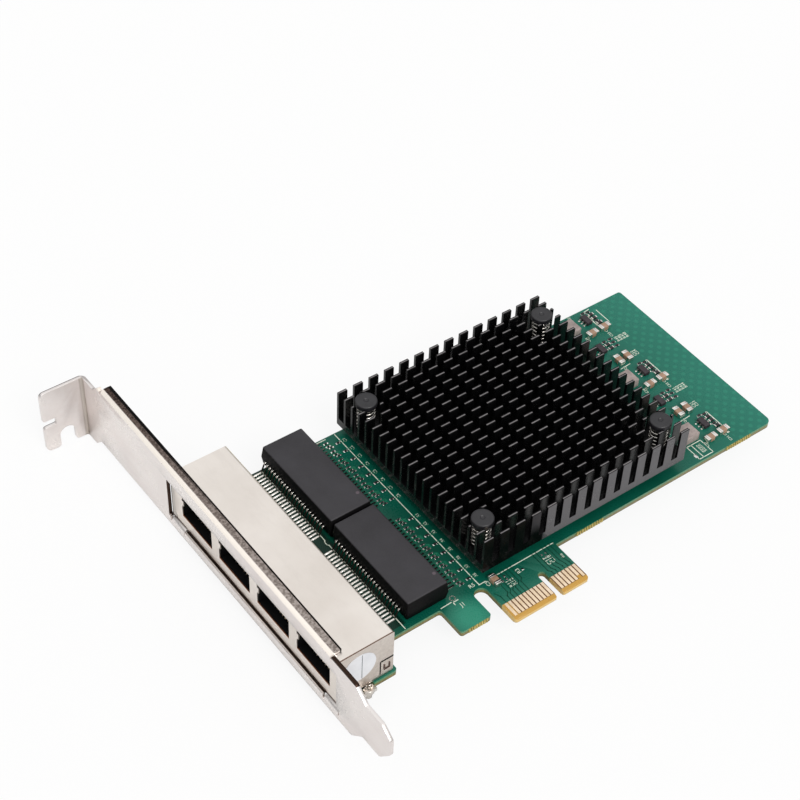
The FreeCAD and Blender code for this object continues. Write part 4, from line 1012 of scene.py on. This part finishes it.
tinySpots = [(x, row + away, 0, long, wide) for row in smallRows for x, away, long, wide in tinyParts["inRow"]]
tinySpots += [(x, y, 0, *tinyParts["farShares"]) for x, y in farSpots]
tinySize = [tinyParts[side] for side in ("length", "width", "height", "edge")]
tiny = softBlock("tinyPart", *tinySize, 1, tinyParts["level"])
settle(copyTo(tiny, tinySpots, "tinyResistors"), "resistorBlack", "resistor_black")

# soldered ends and pads of the ceramic capacitors: (x, y or distance from the row, turn of the long way)
chipEnds = {
    "long": 2.2, "wide": 1.64, "wrap": 0.50, "height": 1.33, "inset": 0.23, "edge": 0.06,
    "padReach": 0.5, "padWide": 1.5, "padHeight": 0.09, "padOut": 0.22, "padEdge": 0.03,
    "front": (46.4, 10.9, 0),
    "inCell": [(115.1, -3.7, 90), (119.2, -3.5, 90)], "inGap": [(114.3, 6.9, 0), (117.0, 6.9, 0)],
}
chipSpots = [chipEnds["front"]]
for rows, group in ((cellRows, chipEnds["inCell"]), (gapRows, chipEnds["inGap"])):
    chipSpots += [(x, low + away, turn) for low in rows for x, away, turn in group]
endPieces = []
for side in (-1, 1):
    tip = softBlock("tip", chipEnds["wide"], chipEnds["wrap"], chipEnds["height"], chipEnds["edge"], 2)
    endPieces.append(movedTo(tip, 0, side * (chipEnds["long"] / 2 - chipEnds["inset"]), "tips"))
    footSize = [chipEnds[side] for side in ("padWide", "padReach", "padHeight", "padEdge")]
    foot = softBlock("foot", *footSize, 1)
    endPieces.append(movedTo(foot, 0, side * (chipEnds["long"] / 2 + chipEnds["padOut"]), "feet"))
endSpots = [(x, y, turn, 1, 1) for x, y, turn in chipSpots]
endSet = copyTo(joinAll(endPieces, "chipEnd"), endSpots, "capacitorSolder")
settle(endSet, "solder", "tin")

# rough stubs left where the board was broken out of its panel: (first x, y, step, how many)
stubs = {
    "width": 0.5, "reach": 0.34, "height": 1.25, "level": -1.42, "edge": 0.1,
    "rows": [(34.3, 4.06, 0.68, 8), (70.7, 11.5, 0.72, 11), (117.0, 11.5, 0.72, 11)],
}
stubSpots = [(x + step * k, y, 0, 1, 1) for x, y, step, count in stubs["rows"] for k in range(count)]
stub = softBlock("stub", stubs["width"], stubs["reach"], stubs["height"], stubs["edge"], 2, stubs["level"])
settle(copyTo(stub, stubSpots, "breakOffStubs"), "laminateStub", "board")

# dividing line of the inspection label, left without any wording
labelRule = {"x": 6.6, "y": 4.595, "width": 0.16, "depth": 0.02, "low": 3.5, "height": 7.7, "edge": 0.005}
rule = softBlock(
    "rule", labelRule["width"], labelRule["depth"], labelRule["height"], labelRule["edge"], 1, labelRule["low"])
settle(movedTo(rule, labelRule["x"], labelRule["y"], "labelDivider"), "labelInk", "label_film", smooth=0)

# hook pressed out of the shield's side flap: two uprights joined at their feet by a toe
hook = {
    "x": 12.35, "y": 4.62, "low": 1.9, "height": 1.7, "bar": 0.34, "depth": 0.14, "toe": 1.1, "gap": 1.3,
    "edge": 0.04,
}
uprights = softBlock("hookBar", hook["bar"], hook["depth"], hook["height"], hook["edge"], 2, hook["low"])
uprights = copyTo(uprights, [(0, 0, 0, 1, 1), (hook["gap"], 0, 0, 1, 1)], "hookBars")
toe = softBlock("hookToe", hook["toe"], hook["depth"], hook["bar"], hook["edge"], 2, hook["low"])
toe = movedTo(toe, hook["toe"] / 2, 0, "hookToes")
hookPiece = movedTo(joinAll([uprights, toe], "hook"), hook["x"], hook["y"], "flapHook")
settle(hookPiece, "darkRelief", "tinned_sheet")

# rim at the front of the shield, beside the end of the port window
rim = {"x": 1.02, "y": 67.72, "thick": 0.18, "reach": 1.3, "height": 11.2, "low": -1.5, "edge": 0.03}
rimPiece = softBlock("shieldRim", rim["thick"], rim["reach"], rim["height"], rim["edge"], 1, rim["low"])
settle(movedTo(rimPiece, rim["x"], rim["y"], "shieldRim"), "rimTin", "tinned_sheet")

# dark filler that closes the gap behind the window's end and sill: it stands for shadow, not for a part
gapFiller = {
    "edge": 0.02,
    # (x, y, thickness, length, height, foot)
    "blocks": {"gapPost": (1.2, 68.2, 0.1, 1.6, 11.6, -1.8), "gapSill": (1.06, 36.85, 0.14, 64.3, 0.7, -2.28)},
}
fillers = []
for name, (x, y, thick, long, high, foot) in gapFiller["blocks"].items():
    filler = softBlock(name, thick, long, high, gapFiller["edge"], 1, foot)
    fillers.append(movedTo(filler, x, y, name + "s"))
settle(joinAll(fillers, "windowGap"), "darkRelief", "tinned_sheet")
print("small parts, stubs, label line, flap hook, rim and gap filler placed")

print("card dressed")
